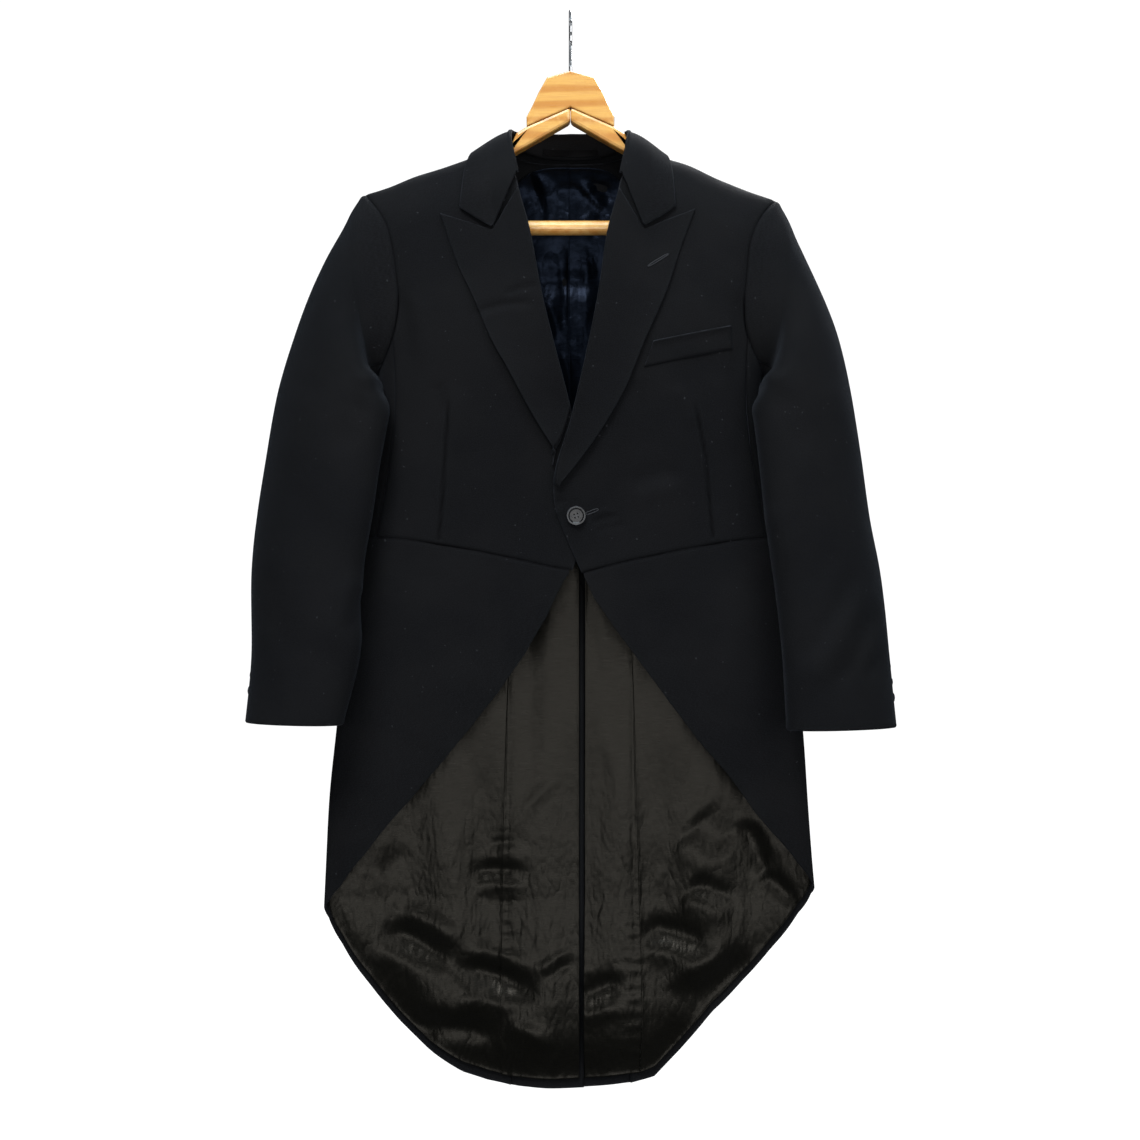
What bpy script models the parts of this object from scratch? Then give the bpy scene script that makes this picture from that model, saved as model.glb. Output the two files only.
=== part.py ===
"""A morning coat on a wooden hanger, built from the pieces that a maker cuts and sews.

Sizes are millimetres and are turned into metres as each mesh is made. X runs to the viewer's
right, Y to the back, Z up. The origin is the inside top of the hanger's hook, and "drop" is the
distance below it. Left and right are the viewer's.
"""

import bisect
import math

import bmesh
import bpy
import numpy as np

MM = 0.001
LEFT, RIGHT = -1, 1
FRONT, BACK = -1, 1

# Cloth
CLOTH = 1.6
LINING = 1.0
CANVASED = 2.2
SEAM = 0.3
WAIST_GAP = 0.45
SIDE_GAP = 0.35
LAYER_GAP = 0.4
# Where the left forepart slips inside the right one: from and to place, from and to drop
TUCK_GAP = 0.7
TUCK_PLACES = (-62.0, -30.0)
TUCK_DROPS = (380.0, 420.0)

# The photo's outline was measured on the middle plane, from this far in front and at this drop
SIGHT_DISTANCE = 2200.0
SIGHT_DROP = 584.0

# The coat's ring at each drop: half widths, front depth and back depth
ROUNDNESS = 2.6
RINGS = (
    # drop, left, right, front, back
    (120, 224, 222, 50, 36),
    (200, 224, 222, 56, 42),
    (260, 223, 221, 61, 45),
    (300, 217, 216, 63, 45),
    (340, 209, 209, 63, 44),
    (380, 203, 203, 61, 42),
    (430, 201, 202, 57, 38),
    (480, 207, 207, 52, 33),
    (551, 217, 215, 46, 28),
    (620, 229, 227, 43, 26),
    (700, 240, 238, 38, 24),
    (745, 245, 243, 34, 23),
    (820, 253, 249, 27, 21),
    (887, 257, 255, 19, 18),
    (937, 259, 259, 12, 16),
    (1130, 262, 262, 8, 12),
)

# The shoulder ridge, where front and back meet over the hanger's arms
RIDGE_DEPTH = 2.0
RIDGE_ROUND = 60.0
RIDGE = (
    # distance from the centre, left drop, right drop
    (0, 139, 139),
    (71, 140.5, 142),
    (98, 150, 153),
    (130, 160, 163),
    (160, 170, 175),
    (190, 183, 188.5),
    (215, 190, 196),
    (230, 193, 200),
)
NECK_POINT = 71.0
NECK_RUN = 45.0

# The armhole seam seen from the front, down to the underarm
ARMHOLE = {
    # drop, distance from the centre
    LEFT: (
        (190, 215),
        (205, 204),
        (226, 191),
        (250, 184),
        (277, 180),
        (299, 178),
        (330, 181),
        (355, 188.5),
        (370, 196),
        (380, 203),
    ),
    RIGHT: (
        (196, 215),
        (207, 205),
        (222, 195),
        (245, 186),
        (277, 182),
        (304, 180),
        (335, 182),
        (355, 188.5),
        (370, 196),
        (380, 203),
    ),
}
UNDERARM_DROP = 380.0
SIDE_SEAM_TOP = 345.0
SIDE_SEAM_WAIST = 203.0
BACK_SEAM_TOP = 292.0
BACK_SEAM_WAIST = 52.0
BACK_SEAM_BEND = 9.0

# The waist seam rises from the front edge to the sides
WAIST = (
    # distance from the centre, left drop, right drop
    (0, 584, 590),
    (15, 581.5, 586),
    (62, 571, 574),
    (137, 557, 559),
    (165, 553, 554),
    (185, 551, 552),
    (213, 550, 550),
)
WAIST_BACK = 550.0

# The roll line and the front edge below it: drop, place
ROLL = {
    LEFT: (
        (122, -61),
        (181, -55),
        (217, -45),
        (293, -30),
        (422, 2),
        (490, 17),
        (540, 15),
        (590, 0),
    ),
    RIGHT: (
        (123, 57),
        (182, 51),
        (218, 41),
        (293, 29),
        (358, 16),
        (422, 1),
        (500, -18),
        (518, -16),
        (543, -7),
        (571, 5),
        (592, 14),
    ),
}

# The lapels' outer edges from the peak down: drop, place
LAPEL_EDGE = {
    LEFT: ((209, -137), (279, -111), (291, -105), (353, -77), (368, -68), (419, -41), (455, -18)),
    RIGHT: ((204, 131), (242, 117), (289, 101), (344, 77), (395, 56), (441, 29), (470, 8), (497, -14)),
}
# The lapel's top edge runs from the gorge's inner end through the notch to the peak
GORGE_INNER = {LEFT: (-55, 181), RIGHT: (51, 182)}
NOTCH = {LEFT: (-82, 227), RIGHT: (77, 226)}
NOTCH_SHARE = 0.36
LAPEL_CLEARANCE = 3.4
ROLL_LIFT = 3.6

# The cutaway edge of the skirts: distance from the centre, drop
CUTAWAY = {
    LEFT: (
        (0, 585),
        (17, 613),
        (24, 630),
        (51, 677),
        (88, 728),
        (125, 773),
        (159, 815),
        (186, 844),
        (225, 894),
        (253, 930),
        (259, 937),
    ),
    RIGHT: (
        (13, 588),
        (20, 604),
        (50, 650),
        (87, 699),
        (126, 753),
        (173, 809),
        (186, 828),
        (225, 875),
        (252, 908),
        (259, 918),
    ),
}
SKIRT_START = {LEFT: 2.0, RIGHT: 15.0}
# The drops at which the skirts' upright lines are spaced, and at which the tails' feet are taken
SKIRT_GAUGE = 700.0
CENTRE_FOOT = 1100.0
PLEAT_FOOT = 1120.0
# The hem of the tails, from fold to fold: place, drop
HEM = (
    (-262, 930),
    (-253, 951),
    (-233, 985),
    (-206, 1024),
    (-182, 1053),
    (-147, 1087),
    (-108, 1112),
    (-80, 1120),
    (-41, 1126),
    (6, 1126),
    (53, 1122),
    (85, 1116),
    (104, 1102),
    (123, 1075),
    (159, 1036),
    (194, 1000),
    (229, 957),
    (262, 911),
)
HEM_BORDER = 10.0
LINING_GAP = 0.9
LINING_TOP = 72.0
LINING_DIP = 43.0
LINING_SEAM = 66.0
LINING_SPREAD = (380.0, 550.0)
SKIRT_LINING_START = 12.0
FLUTE_DEPTH = 3.0
FLUTE_WIDTH = 92.0

# The centre vent: the left tail lies inside the right one
CENTRE_BACK = -1.5
BACK_NECK = 153.0
NECK_SQUARENESS = 4
VENT_TOP = 590.0
VENT_STEP = 12.0
VENT_LAP = 14.0
VENT_BORDER = 5.0
VENT_REACH = 1.6
VENT_TUCK_GAP = 0.6
VENT_TUCK_PLACES = (-45.0, -20.0)
VENT_TUCK_DROPS = (545.0, 572.0)
VENT_LINING_DROPS = (568.0, 584.0)

# The sleeves, a ring at each row: outer tip, inner tip and half the thickness
SLEEVE_RINGS = {
    # outer place, drop, depth, inner place, drop, depth, half thickness to the front and the back
    LEFT: (
        (-217, 190, 2, -204, 380, 0, 46, 42),
        (-225, 197, 2, -207, 383, -5, 50, 44),
        (-238, 226, 3, -206, 387, -18, 49, 42),
        (-256, 263, 4, -200, 392, -34, 47, 38),
        (-273, 304, 4, -194, 402, -50, 45, 35),
        (-289, 352, 2, -188, 416, -60, 42, 34),
        (-304, 406, -1, -190, 436, -65, 39, 35),
        (-316, 470, -7, -196, 474, -67, 37, 35),
        (-324, 526, -14, -203, 526, -68, 36, 35),
        (-328, 584, -23, -213, 584, -67, 35, 35),
        (-328, 668, -33, -216, 668, -70, 34, 34),
        (-334, 740, -43, -232, 742, -72, 33, 33),
    ),
    RIGHT: (
        (217, 196, 2, 204, 380, 0, 46, 42),
        (225, 206, 2, 207, 383, -5, 50, 44),
        (238, 240, 3, 206, 387, -18, 49, 42),
        (253, 278, 4, 200, 392, -34, 47, 38),
        (266, 314, 4, 194, 402, -50, 45, 35),
        (278, 352, 2, 188, 416, -60, 42, 34),
        (290, 408, -1, 191, 436, -65, 39, 35),
        (300, 466, -7, 196, 481, -67, 37, 35),
        (309, 531, -14, 201, 533, -68, 36, 35),
        (320, 590, -23, 208, 590, -67, 35, 35),
        (328, 668, -33, 216, 668, -70, 34, 34),
        (335, 745, -43, 220, 747, -72, 33, 33),
    ),
}
SLEEVE_BLEND = 1.6
SLEEVE_TWIST = 40.0
ARMHOLE_GAP = 0.9
SLEEVE_SEAM = 0.4
# Soft folds on the front of the forearms: start place, drop, end place, drop, half width, rise
SLEEVE_FOLDS = {
    LEFT: ((-222, 596, -244, 664, 15, 2.6), (-300, 560, -262, 650, 20, 1.8)),
    RIGHT: ((304, 600, 236, 702, 15, 4.4), (330, 622, 292, 680, 13, 3.6)),
}
# The folds show on the sleeve's front alone: turns at which they rise and sink
FOLD_TURNS = (5.0, 40.0, 150.0, 185.0)
# The hind-arm seam and the forearm seam, as turns round the ring at the armhole and at the cuff
HIND_SEAM = (-62.0, -20.0)
FOREARM_SEAM = (150.0, 190.0)

# The collar from centre back to its front end: fold and fall edge over the shoulder
COLLAR = {
    # fold place, turn, lift, fall place, turn, lift
    LEFT: (
        (0, 28, 28, 0, 58, 4.4),
        (-32, 26, 25, -46, 54, 4.4),
        (-57, 15, 17, -82, 34, 4.6),
        (-65, -4, 15, -99, 2, 5.4),
        (-64, -36, 10, -108, -38, 5.0),
        (-56, -72, 8, -114, -88, 4.4),
    ),
    RIGHT: (
        (0, 28, 28, 0, 58, 4.4),
        (32, 26, 25, 46, 54, 4.4),
        (55, 15, 17, 80, 34, 4.6),
        (63, -4, 15, 98, 2, 5.4),
        (61, -36, 10, 105, -38, 5.0),
        (53, -72, 8, 108, -86, 4.4),
    ),
}
COLLAR_BULGE = 2.0
COLLAR_NOTCH_SHARE = 0.5
COLLAR_END_GAP = 2.0
# The stand starts this share of the way below the fold and this far inside it
STAND_START = 0.16
STAND_INSET = 3.6
STAND_FOOT_INSET = 1.2
STAND_AIM = -12.0
STAND_BOTTOM = (
    # place as a share of the fold's, turn, lift at each station
    (1.00, 38, 4.0),
    (1.02, 36, 4.0),
    (1.06, 22, 4.0),
    (1.07, 0, 4.0),
    (1.04, -32, 3.2),
    (1.02, -62, 3.0),
)

# Breast welt on the right forepart
WELT_CORNERS = ((87, 343), (168, 327), (170, 352), (77, 371))
WELT = 1.8

# Buttons
BUTTON_GAP = 0.9
CUFF_BUTTON_GAP = 0.2
FRONT_BUTTON = 10.15
BACK_BUTTON = 10.0
CUFF_BUTTON = 7.5
BUTTON_THICK = 3.2
CUFF_BUTTON_THICK = 2.6
BUTTON_HOLE = 0.85
BUTTON_HOLE_SPREAD = 2.55
BUTTON_HOLE_TURN = 60
CUFF_BUTTON_PLACE = 0.035
FRONT_BUTTON_PLACE = (6, 527)
CUFF_BUTTON_DROPS = {LEFT: (677, 693, 709), RIGHT: (684, 700, 716)}

# Label
LABEL_WIDTH, LABEL_HEIGHT, LABEL = 57.0, 7.0, 1.0
LABEL_DROP = 142.0

# Hanger
BLOCK_TOP = 62.0
ARM_TOP = (
    # distance from the centre, drop
    (56.5, 127),
    (61.5, 137.5),
    (66.5, 147.5),
    (74, 153.5),
    (98, 162.5),
    (130, 171),
    (159, 182),
    (180, 193),
    (190, 202),
    (192, 214),
)
ARM_BOTTOM = ((190, 234), (180, 238), (164, 229), (130, 201), (98, 177), (56.5, 147))
ARM_APEX = 115.0
JOINT_APEX = 100.0
JOINT_END = (45.8, 120.0)
BLOCK_SIDE = ((24.5, 69), (33.5, 85), (39.5, 98), (46, 110.5))
ARM_HALF_THICKNESS = 11.0
BLOCK_HALF_THICKNESS = 11.0
ARM_ROUNDING = 3.0
BLOCK_ROUNDING = 1.5
BAR_DROP = 225.0
BAR_RADIUS = 7.75
BAR_HALF_LENGTH = 181.0
SOCKET_CLEARANCE = 0.3
SOCKET_DEPTH = 40.0
HOOK_WIRE = 1.8
HOOK_INSIDE = 21.0
HOOK_SEAT = 14.0
HOOK_STEM = 6.0
HOOK_BEND = (3.0, -51.0)


def clear_scene():
    for obj in list(bpy.data.objects):
        bpy.data.objects.remove(obj, do_unlink=True)


class Smooth:
    """A smooth curve through a table's rows, read by the value of its first column."""

    def __init__(self, rows):
        table = np.asarray(rows, float)
        self.keys = table[:, 0].tolist()
        self.values = table[:, 1:].tolist()
        self.slopes = np.gradient(table[:, 1:], table[:, 0], axis=0).tolist()

    def __call__(self, at):
        keys = self.keys
        if at <= keys[0]:
            return [a + m * (at - keys[0]) for a, m in zip(self.values[0], self.slopes[0])]
        if at >= keys[-1]:
            return [a + m * (at - keys[-1]) for a, m in zip(self.values[-1], self.slopes[-1])]
        i = bisect.bisect_right(keys, at) - 1
        span = keys[i + 1] - keys[i]
        s = (at - keys[i]) / span
        start, end = (1 + 2 * s) * (1 - s) ** 2, s * s * (3 - 2 * s)
        rise, fall = span * s * (1 - s) ** 2, span * s * s * (s - 1)
        rows = zip(self.values[i], self.values[i + 1], self.slopes[i], self.slopes[i + 1])
        return [a * start + b * end + m * rise + n * fall for a, b, m, n in rows]


RING_CURVE = Smooth(RINGS)
RIDGE_CURVE = Smooth(RIDGE)
WAIST_CURVE = Smooth(WAIST)
ARMHOLE_CURVE = {side: Smooth(ARMHOLE[side]) for side in (LEFT, RIGHT)}


def numbered(rows):
    """A smooth curve read by the row's number."""
    return Smooth([(number, *row) for number, row in enumerate(rows)])


SLEEVE_CURVE = {side: numbered(SLEEVE_RINGS[side]) for side in (LEFT, RIGHT)}
COLLAR_CURVE = {side: numbered(COLLAR[side]) for side in (LEFT, RIGHT)}
STAND_CURVE = numbered(STAND_BOTTOM)


def blend(a, b, share):
    return a + (b - a) * share


def ease(value, start, end):
    """0 before start, 1 after end, and smooth between them."""
    s = min(max((value - start) / (end - start), 0.0), 1.0)
    return s * s * (3 - 2 * s)


def unit(vector):
    return vector / np.linalg.norm(vector)


def halve(low, high, is_short):
    """The value between low and high up to which is_short holds."""
    for _ in range(40):
        middle = (low + high) / 2
        low, high = (middle, high) if is_short(middle) else (low, middle)
    return low


def side_of(x):
    return LEFT if x < 0 else RIGHT


def ring_at(drop, side):
    """Half width, front depth and back depth of the coat at a drop."""
    left, right, front, back = RING_CURVE(drop)
    return (left if side == LEFT else right), front, back


def ridge_drop(x):
    left, right = RIDGE_CURVE(abs(x))
    share = ease(x, -40.0, 40.0)
    return blend(left, right, share)


def waist_drop(x, side):
    left, right = WAIST_CURVE(max(x * side, 0.0))
    return left if side == LEFT else right


def shoulder_share(x, drop):
    """How much of its full depth the coat has at this distance below the shoulder ridge."""
    below = min(max((drop - ridge_drop(x)) / RIDGE_ROUND, 0.0), 1.0)
    return math.sqrt(1 - (1 - below) ** 2)


def flutes(x, drop):
    """The soft upright waves of the tails, deeper towards the hem."""
    amount = FLUTE_DEPTH * ease(drop, 620.0, 1000.0)
    return amount * math.cos(2 * math.pi * (x - 8.0) / FLUTE_WIDTH)


def shaped(x, depth, drop, face):
    """Depth after the shoulder's rounding and, on the back, the tails' flutes."""
    if face == BACK:
        depth += flutes(x, drop) * ease(depth, 2.0, 14.0)
    seam = face * SEAM / 2
    return RIDGE_DEPTH + seam + (depth - RIDGE_DEPTH - seam) * shoulder_share(x, drop)


def coat_depth(x, drop, face):
    half_width, front, back = ring_at(drop, side_of(x))
    share = min(abs(x) / half_width, 1.0) ** ROUNDNESS
    full = front if face == FRONT else back
    return shaped(x, face * full * (1 - share) ** (1 / ROUNDNESS), drop, face)


def coat_point(x, drop, face):
    return np.array((x, coat_depth(x, drop, face), -drop))


def round_point(side, turn, drop):
    """A point by its turn round the ring: -90 is front centre, 0 the side fold, 90 back centre."""
    half_width, front, back = ring_at(drop, side)
    angle = math.radians(turn)
    x = side * half_width * math.cos(angle) ** (2 / ROUNDNESS)
    reach = abs(math.sin(angle)) ** (2 / ROUNDNESS)
    if turn < 0:
        return np.array((x, shaped(x, -front * reach, drop, FRONT), -drop))
    return np.array((x, shaped(x, back * reach, drop, BACK), -drop))


def turn_of(side, x, drop, face):
    half_width = ring_at(drop, side)[0]
    share = min(abs(x) / half_width, 1.0) ** (ROUNDNESS / 2)
    return face * math.degrees(math.acos(share))


def over_shoulder(x, turn, lift):
    """A point by its turn over the shoulder ridge, -90 to the front and 90 to the back, lifted."""
    angle = math.radians(min(max(turn, -90.0), 90.0))
    past = math.radians(max(abs(turn) - 90.0, 0.0))
    drop = ridge_drop(x) + RIDGE_ROUND * (1 - math.cos(angle) + past)
    point = coat_point(x, drop, FRONT if turn < 0 else BACK)
    return point + lift * np.array((0.0, math.sin(angle), math.cos(angle)))


def shoulder_turn(x, drop):
    """The turn over the shoulder of a place on the front."""
    below = (drop - ridge_drop(x)) / RIDGE_ROUND
    if below > 1:
        return -90.0 - math.degrees(below - 1)
    return -math.degrees(math.acos(1 - below))


def sighted(x, drop, face):
    """Where a place measured on the middle plane lies on the coat's own face."""
    scale = 1.0
    for _ in range(4):
        depth = coat_depth(x * scale, SIGHT_DROP + (drop - SIGHT_DROP) * scale, face)
        scale = 1 + depth / SIGHT_DISTANCE
    return x * scale, SIGHT_DROP + (drop - SIGHT_DROP) * scale


def sighted_by_drop(table, face):
    """A table of (drop, place) carried on to the coat's face."""
    moved = [sighted(x, drop, face) for drop, x in table]
    return tuple((drop, x) for x, drop in moved)


def sighted_by_place(table, face, side=RIGHT):
    """A table of (distance, drop) carried on to the coat's face."""
    moved = [sighted(side * x, drop, face) for x, drop in table]
    return tuple((side * x, drop) for x, drop in moved)


def roll_place(side, drop):
    return ROLL_ON_COAT[side](drop)[0]


def armhole_place(side, drop):
    return side * ARMHOLE_CURVE[side](drop)[0]


ROLL_ON_COAT = {side: Smooth(sighted_by_drop(ROLL[side], FRONT)) for side in (LEFT, RIGHT)}
LAPEL_ROWS = {side: sighted_by_drop(LAPEL_EDGE[side], FRONT) for side in (LEFT, RIGHT)}
LAPEL_ON_COAT = {side: Smooth(LAPEL_ROWS[side]) for side in (LEFT, RIGHT)}
CUTAWAY_ON_COAT = {
    side: Smooth(sighted_by_place(CUTAWAY[side], FRONT, side)) for side in (LEFT, RIGHT)
}


def finish_of(name, colour, roughness, metallic=0.0):
    finish = bpy.data.materials.new(name)
    finish.use_nodes = True
    shader = finish.node_tree.nodes["Principled BSDF"]
    shader.inputs["Base Color"].default_value = (*colour, 1.0)
    shader.inputs["Roughness"].default_value = roughness
    shader.inputs["Metallic"].default_value = metallic
    return finish


FINISHES = {
    "coat_cloth": ((0.012, 0.015, 0.018), 0.85, 0.0),
    "body_lining": ((0.008, 0.010, 0.022), 0.35, 0.0),
    "tail_lining": ((0.10, 0.10, 0.085), 0.35, 0.0),
    "label_cloth": ((0.30, 0.29, 0.26), 0.6, 0.0),
    "button_horn": ((0.01, 0.01, 0.012), 0.2, 0.0),
    "hanger_wood": ((0.55, 0.30, 0.11), 0.3, 0.0),
    "hook_steel": ((0.60, 0.60, 0.60), 0.25, 1.0),
}


def add_object(name, mesh, finish):
    """A shown object with its own material, shaded smooth but for its sharp edges."""
    obj = bpy.data.objects.new(name, mesh)
    bpy.context.scene.collection.objects.link(obj)
    mesh.materials.append(finish_of(name + "_" + finish, *FINISHES[finish]))
    mesh.shade_smooth()
    mesh.set_sharp_from_angle(angle=math.radians(40))
    return obj


def solid_from(name, points, faces, finish):
    """A closed mesh with its faces turned outwards, by the sign of its volume."""
    mesh = bpy.data.meshes.new(name)
    mesh.from_pydata([tuple(p * MM) for p in points], [], faces)
    shape = bmesh.new()
    shape.from_mesh(mesh)
    if shape.calc_volume(signed=True) < 0:
        bmesh.ops.reverse_faces(shape, faces=shape.faces)
    shape.to_mesh(mesh)
    shape.free()
    return add_object(name, mesh, finish)


def surface_normal(surface, u, v):
    step = 1e-5
    along_u = surface(u + step, v) - surface(u - step, v)
    along_v = surface(u, v + step) - surface(u, v - step)
    return unit(np.cross(along_u, along_v))


def pull_in(grid, amounts):
    """Moves the grid's four borders inwards by the gaps that the seams need."""
    first_u, last_u, first_v, last_v = amounts
    moved = grid.copy()
    for index, inner, amount in ((0, 1, first_u), (-1, -2, last_u)):
        step = grid[:, inner] - grid[:, index]
        length = np.linalg.norm(step, axis=1, keepdims=True)
        moved[:, index] += step / np.maximum(length, 1e-6) * amount
    for index, inner, amount in ((0, 1, first_v), (-1, -2, last_v)):
        step = grid[inner] - grid[index]
        length = np.linalg.norm(step, axis=1, keepdims=True)
        moved[index] += step / np.maximum(length, 1e-6) * amount
    return moved


def wall_faces(rows, columns):
    """Faces of two stacked grids of points, outer then inner, closed round their borders."""
    total = rows * columns

    def at(row, column, layer):
        return layer * total + row * columns + column

    faces = []
    for row in range(rows - 1):
        for column in range(columns - 1):
            corners = ((row, column), (row, column + 1), (row + 1, column + 1), (row + 1, column))
            faces.append([at(r, c, 0) for r, c in corners])
            faces.append([at(r, c, 1) for r, c in reversed(corners)])
    border = [(0, c) for c in range(columns)]
    border += [(r, columns - 1) for r in range(1, rows)]
    border += [(rows - 1, c) for c in range(columns - 2, -1, -1)]
    border += [(r, 0) for r in range(rows - 2, 0, -1)]
    for a, b in zip(border, border[1:] + border[:1]):
        faces.append([at(*b, 0), at(*a, 0), at(*a, 1), at(*b, 1)])
    return faces


def wall(name, surface, across, down, finish, out, thickness=CLOTH, offset=0.0,
         gaps=(SEAM / 2,) * 4, level_start=False):
    """A closed wall over surface(u, v). Its outer face is the surface moved out by offset.

    out is a direction that the outer face looks at the first column. level_start keeps the
    first row's edge upright to the armhole, so it doesn't reach into the panel it is sewn to.
    """
    normals = np.array([[surface_normal(surface, u, v) for u in across] for v in down])
    points = np.array([[surface(u, v) for u in across] for v in down])
    if np.dot(normals[len(down) // 2][0], out) < 0:
        normals = -normals
    if level_start:
        for normal in normals[0]:
            normal[0] = 0.0
        normals[0] /= np.linalg.norm(normals[0], axis=1, keepdims=True)
    points = pull_in(points, gaps)
    outer = points + normals * offset
    inner = points + normals * (offset - thickness)
    both = np.concatenate([outer.reshape(-1, 3), inner.reshape(-1, 3)])
    return solid_from(name, both, wall_faces(len(down), len(across)), finish)


def spread(count):
    return [i / count for i in range(count + 1)]


SHOULDER_ROWS = [0.0, 0.007, 0.025, 0.06, 0.11]
BODY_ROWS = [0.17, 0.24, 0.31, 0.38, 0.46, 0.54, 0.62, 0.70, 0.78, 0.86, 0.93, 1.0]


def side_seam_turn(side, share):
    """The turn of the seam between forepart and side body, from armhole to waist."""
    top = turn_of(side, armhole_place(side, SIDE_SEAM_TOP), SIDE_SEAM_TOP, FRONT)
    bottom = turn_of(side, SIDE_SEAM_WAIST, waist_drop(side * SIDE_SEAM_WAIST, side), FRONT)
    return blend(top, bottom, share)


def back_seam_turn(side, share):
    """The turn of the curved seam between side body and back, from armhole to waist."""
    top = turn_of(side, armhole_place(side, BACK_SEAM_TOP), BACK_SEAM_TOP, BACK)
    bottom = turn_of(side, BACK_SEAM_WAIST, WAIST_BACK, BACK)
    return blend(top, bottom, share) + BACK_SEAM_BEND * math.sin(math.pi * share)


def tuck_under(x, drop):
    """How far the left forepart lies inside the right one where they overlap."""
    return (CLOTH + TUCK_GAP) * ease(x, *TUCK_PLACES) * ease(drop, *TUCK_DROPS)


def forepart_outer(side, drop):
    """Armhole, then side seam."""
    if drop < SIDE_SEAM_TOP:
        return armhole_place(side, drop)
    bottom = waist_drop(side * SIDE_SEAM_WAIST, side)
    share = (drop - SIDE_SEAM_TOP) / (bottom - SIDE_SEAM_TOP)
    return round_point(side, side_seam_turn(side, share), drop)[0]


def forepart_place(side, u, v):
    """Place and drop on a forepart, from its inner edge to its outer edge and shoulder to waist."""
    tip = ARMHOLE[side][0]
    neck = side * NECK_POINT
    top_x = blend(neck, side * tip[1], u)
    bottom_inner = roll_place(side, waist_drop(0.0, side))
    bottom_x = blend(bottom_inner, side * SIDE_SEAM_WAIST, u)
    drop = blend(ridge_drop(top_x), waist_drop(bottom_x, side), v)
    inner_drop = blend(ridge_drop(neck), waist_drop(bottom_inner, side), v)
    outer_drop = blend(ridge_drop(side * tip[1]), waist_drop(side * SIDE_SEAM_WAIST, side), v)
    near_neck = 1 - ease(inner_drop, ridge_drop(neck), ridge_drop(neck) + NECK_RUN)
    inner = blend(roll_place(side, inner_drop), neck, near_neck)
    return blend(inner, forepart_outer(side, outer_drop), u), drop


def forepart_surface(side):
    def surface(u, v):
        x, drop = forepart_place(side, u, v)
        point = coat_point(x, drop, FRONT)
        if side == LEFT:
            point[1] += tuck_under(x, drop)
        return point

    return surface


SHOULDER_COLUMNS = [0.0, 0.14, 0.28, 0.42, 0.57, 0.72, 0.87, 1.0]


def make_foreparts():
    rows = SHOULDER_ROWS + BODY_ROWS
    for side, name in ((LEFT, "forepart_left"), (RIGHT, "forepart_right")):
        wall(name, forepart_surface(side), SHOULDER_COLUMNS, rows, "coat_cloth", (0, -1, 0),
             gaps=(SEAM / 2, SIDE_GAP, SEAM / 2, WAIST_GAP))


def side_body_surface(side):
    """From the side seam round the fold to the curved back seam, and from armhole to waist."""

    def armhole_bottom(u):
        if u < 0.5:
            drop = blend(SIDE_SEAM_TOP, UNDERARM_DROP, math.sin(math.pi * u))
            return turn_of(side, armhole_place(side, drop), drop, FRONT), drop
        drop = blend(UNDERARM_DROP, BACK_SEAM_TOP, 1 - math.sin(math.pi * min(u, 1.0)))
        return turn_of(side, armhole_place(side, drop), drop, BACK), drop

    def surface(u, v):
        top_turn, top_drop = armhole_bottom(u)
        bottom_turn = blend(side_seam_turn(side, 1.0), back_seam_turn(side, 1.0), u)
        bend = BACK_SEAM_BEND * math.sin(math.pi * v) * max(u, 0.0) ** 2
        turn = blend(top_turn, bottom_turn, v) + bend
        foot = round_point(side, bottom_turn, WAIST_BACK)
        bottom_drop = waist_drop(foot[0], side) if bottom_turn < 0 else WAIST_BACK
        return round_point(side, turn, blend(top_drop, bottom_drop, v))

    return surface


def make_side_bodies():
    across = [0.0, 0.1, 0.22, 0.36, 0.47, 0.53, 0.64, 0.76, 0.88, 1.0]
    for side, name in ((LEFT, "side_body_left"), (RIGHT, "side_body_right")):
        wall(name, side_body_surface(side), across, spread(SEAM_STEPS), "coat_cloth", (0, -1, 0))


def vent_shift(side, drop):
    """How far a tail's inner edge reaches past the centre below the waist."""
    lap = VENT_LAP - CENTRE_BACK
    return -side * lap * ease(drop, VENT_TOP, VENT_TOP + VENT_STEP)


def back_outer(side, drop):
    """Back armhole, then the curved side-back seam, then the pleat of the tail."""
    if drop < BACK_SEAM_TOP:
        return armhole_place(side, drop)
    if drop < WAIST_BACK:
        share = (drop - BACK_SEAM_TOP) / (WAIST_BACK - BACK_SEAM_TOP)
        return round_point(side, back_seam_turn(side, share), drop)[0]
    return round_point(side, pleat_turn(side), drop)[0]


def pleat_turn(side):
    return turn_of(side, BACK_SEAM_WAIST, WAIST_BACK, BACK)


def hem_drop(x):
    return HEM_ON_COAT(x)[0]


def vent_tuck(side, x, drop):
    """The left tail lies inside the right one along the vent."""
    if side == RIGHT:
        return 0.0
    return (CLOTH + VENT_TUCK_GAP) * ease(x, *VENT_TUCK_PLACES) * ease(drop, *VENT_TUCK_DROPS)


def back_surface(side):
    tip = ARMHOLE[side][0]

    def surface(u, v):
        top_x = blend(CENTRE_BACK, side * tip[1], u)
        neck = 1 - min(abs(top_x) / NECK_POINT, 1.0) ** NECK_SQUARENESS
        top_drop = blend(ridge_drop(top_x), BACK_NECK, neck)
        foot_inner = CENTRE_BACK + vent_shift(side, CENTRE_FOOT)
        foot_outer = back_outer(side, PLEAT_FOOT)
        drop = blend(top_drop, hem_drop(blend(foot_inner, foot_outer, u)), v)
        inner_drop = blend(BACK_NECK, hem_drop(foot_inner), v)
        outer_drop = blend(ridge_drop(side * tip[1]), hem_drop(foot_outer), v)
        inner = CENTRE_BACK + vent_shift(side, inner_drop)
        x = blend(inner, back_outer(side, outer_drop), u)
        point = coat_point(x, drop, BACK)
        point[1] -= vent_tuck(side, x, drop)
        return point

    return surface


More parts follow.
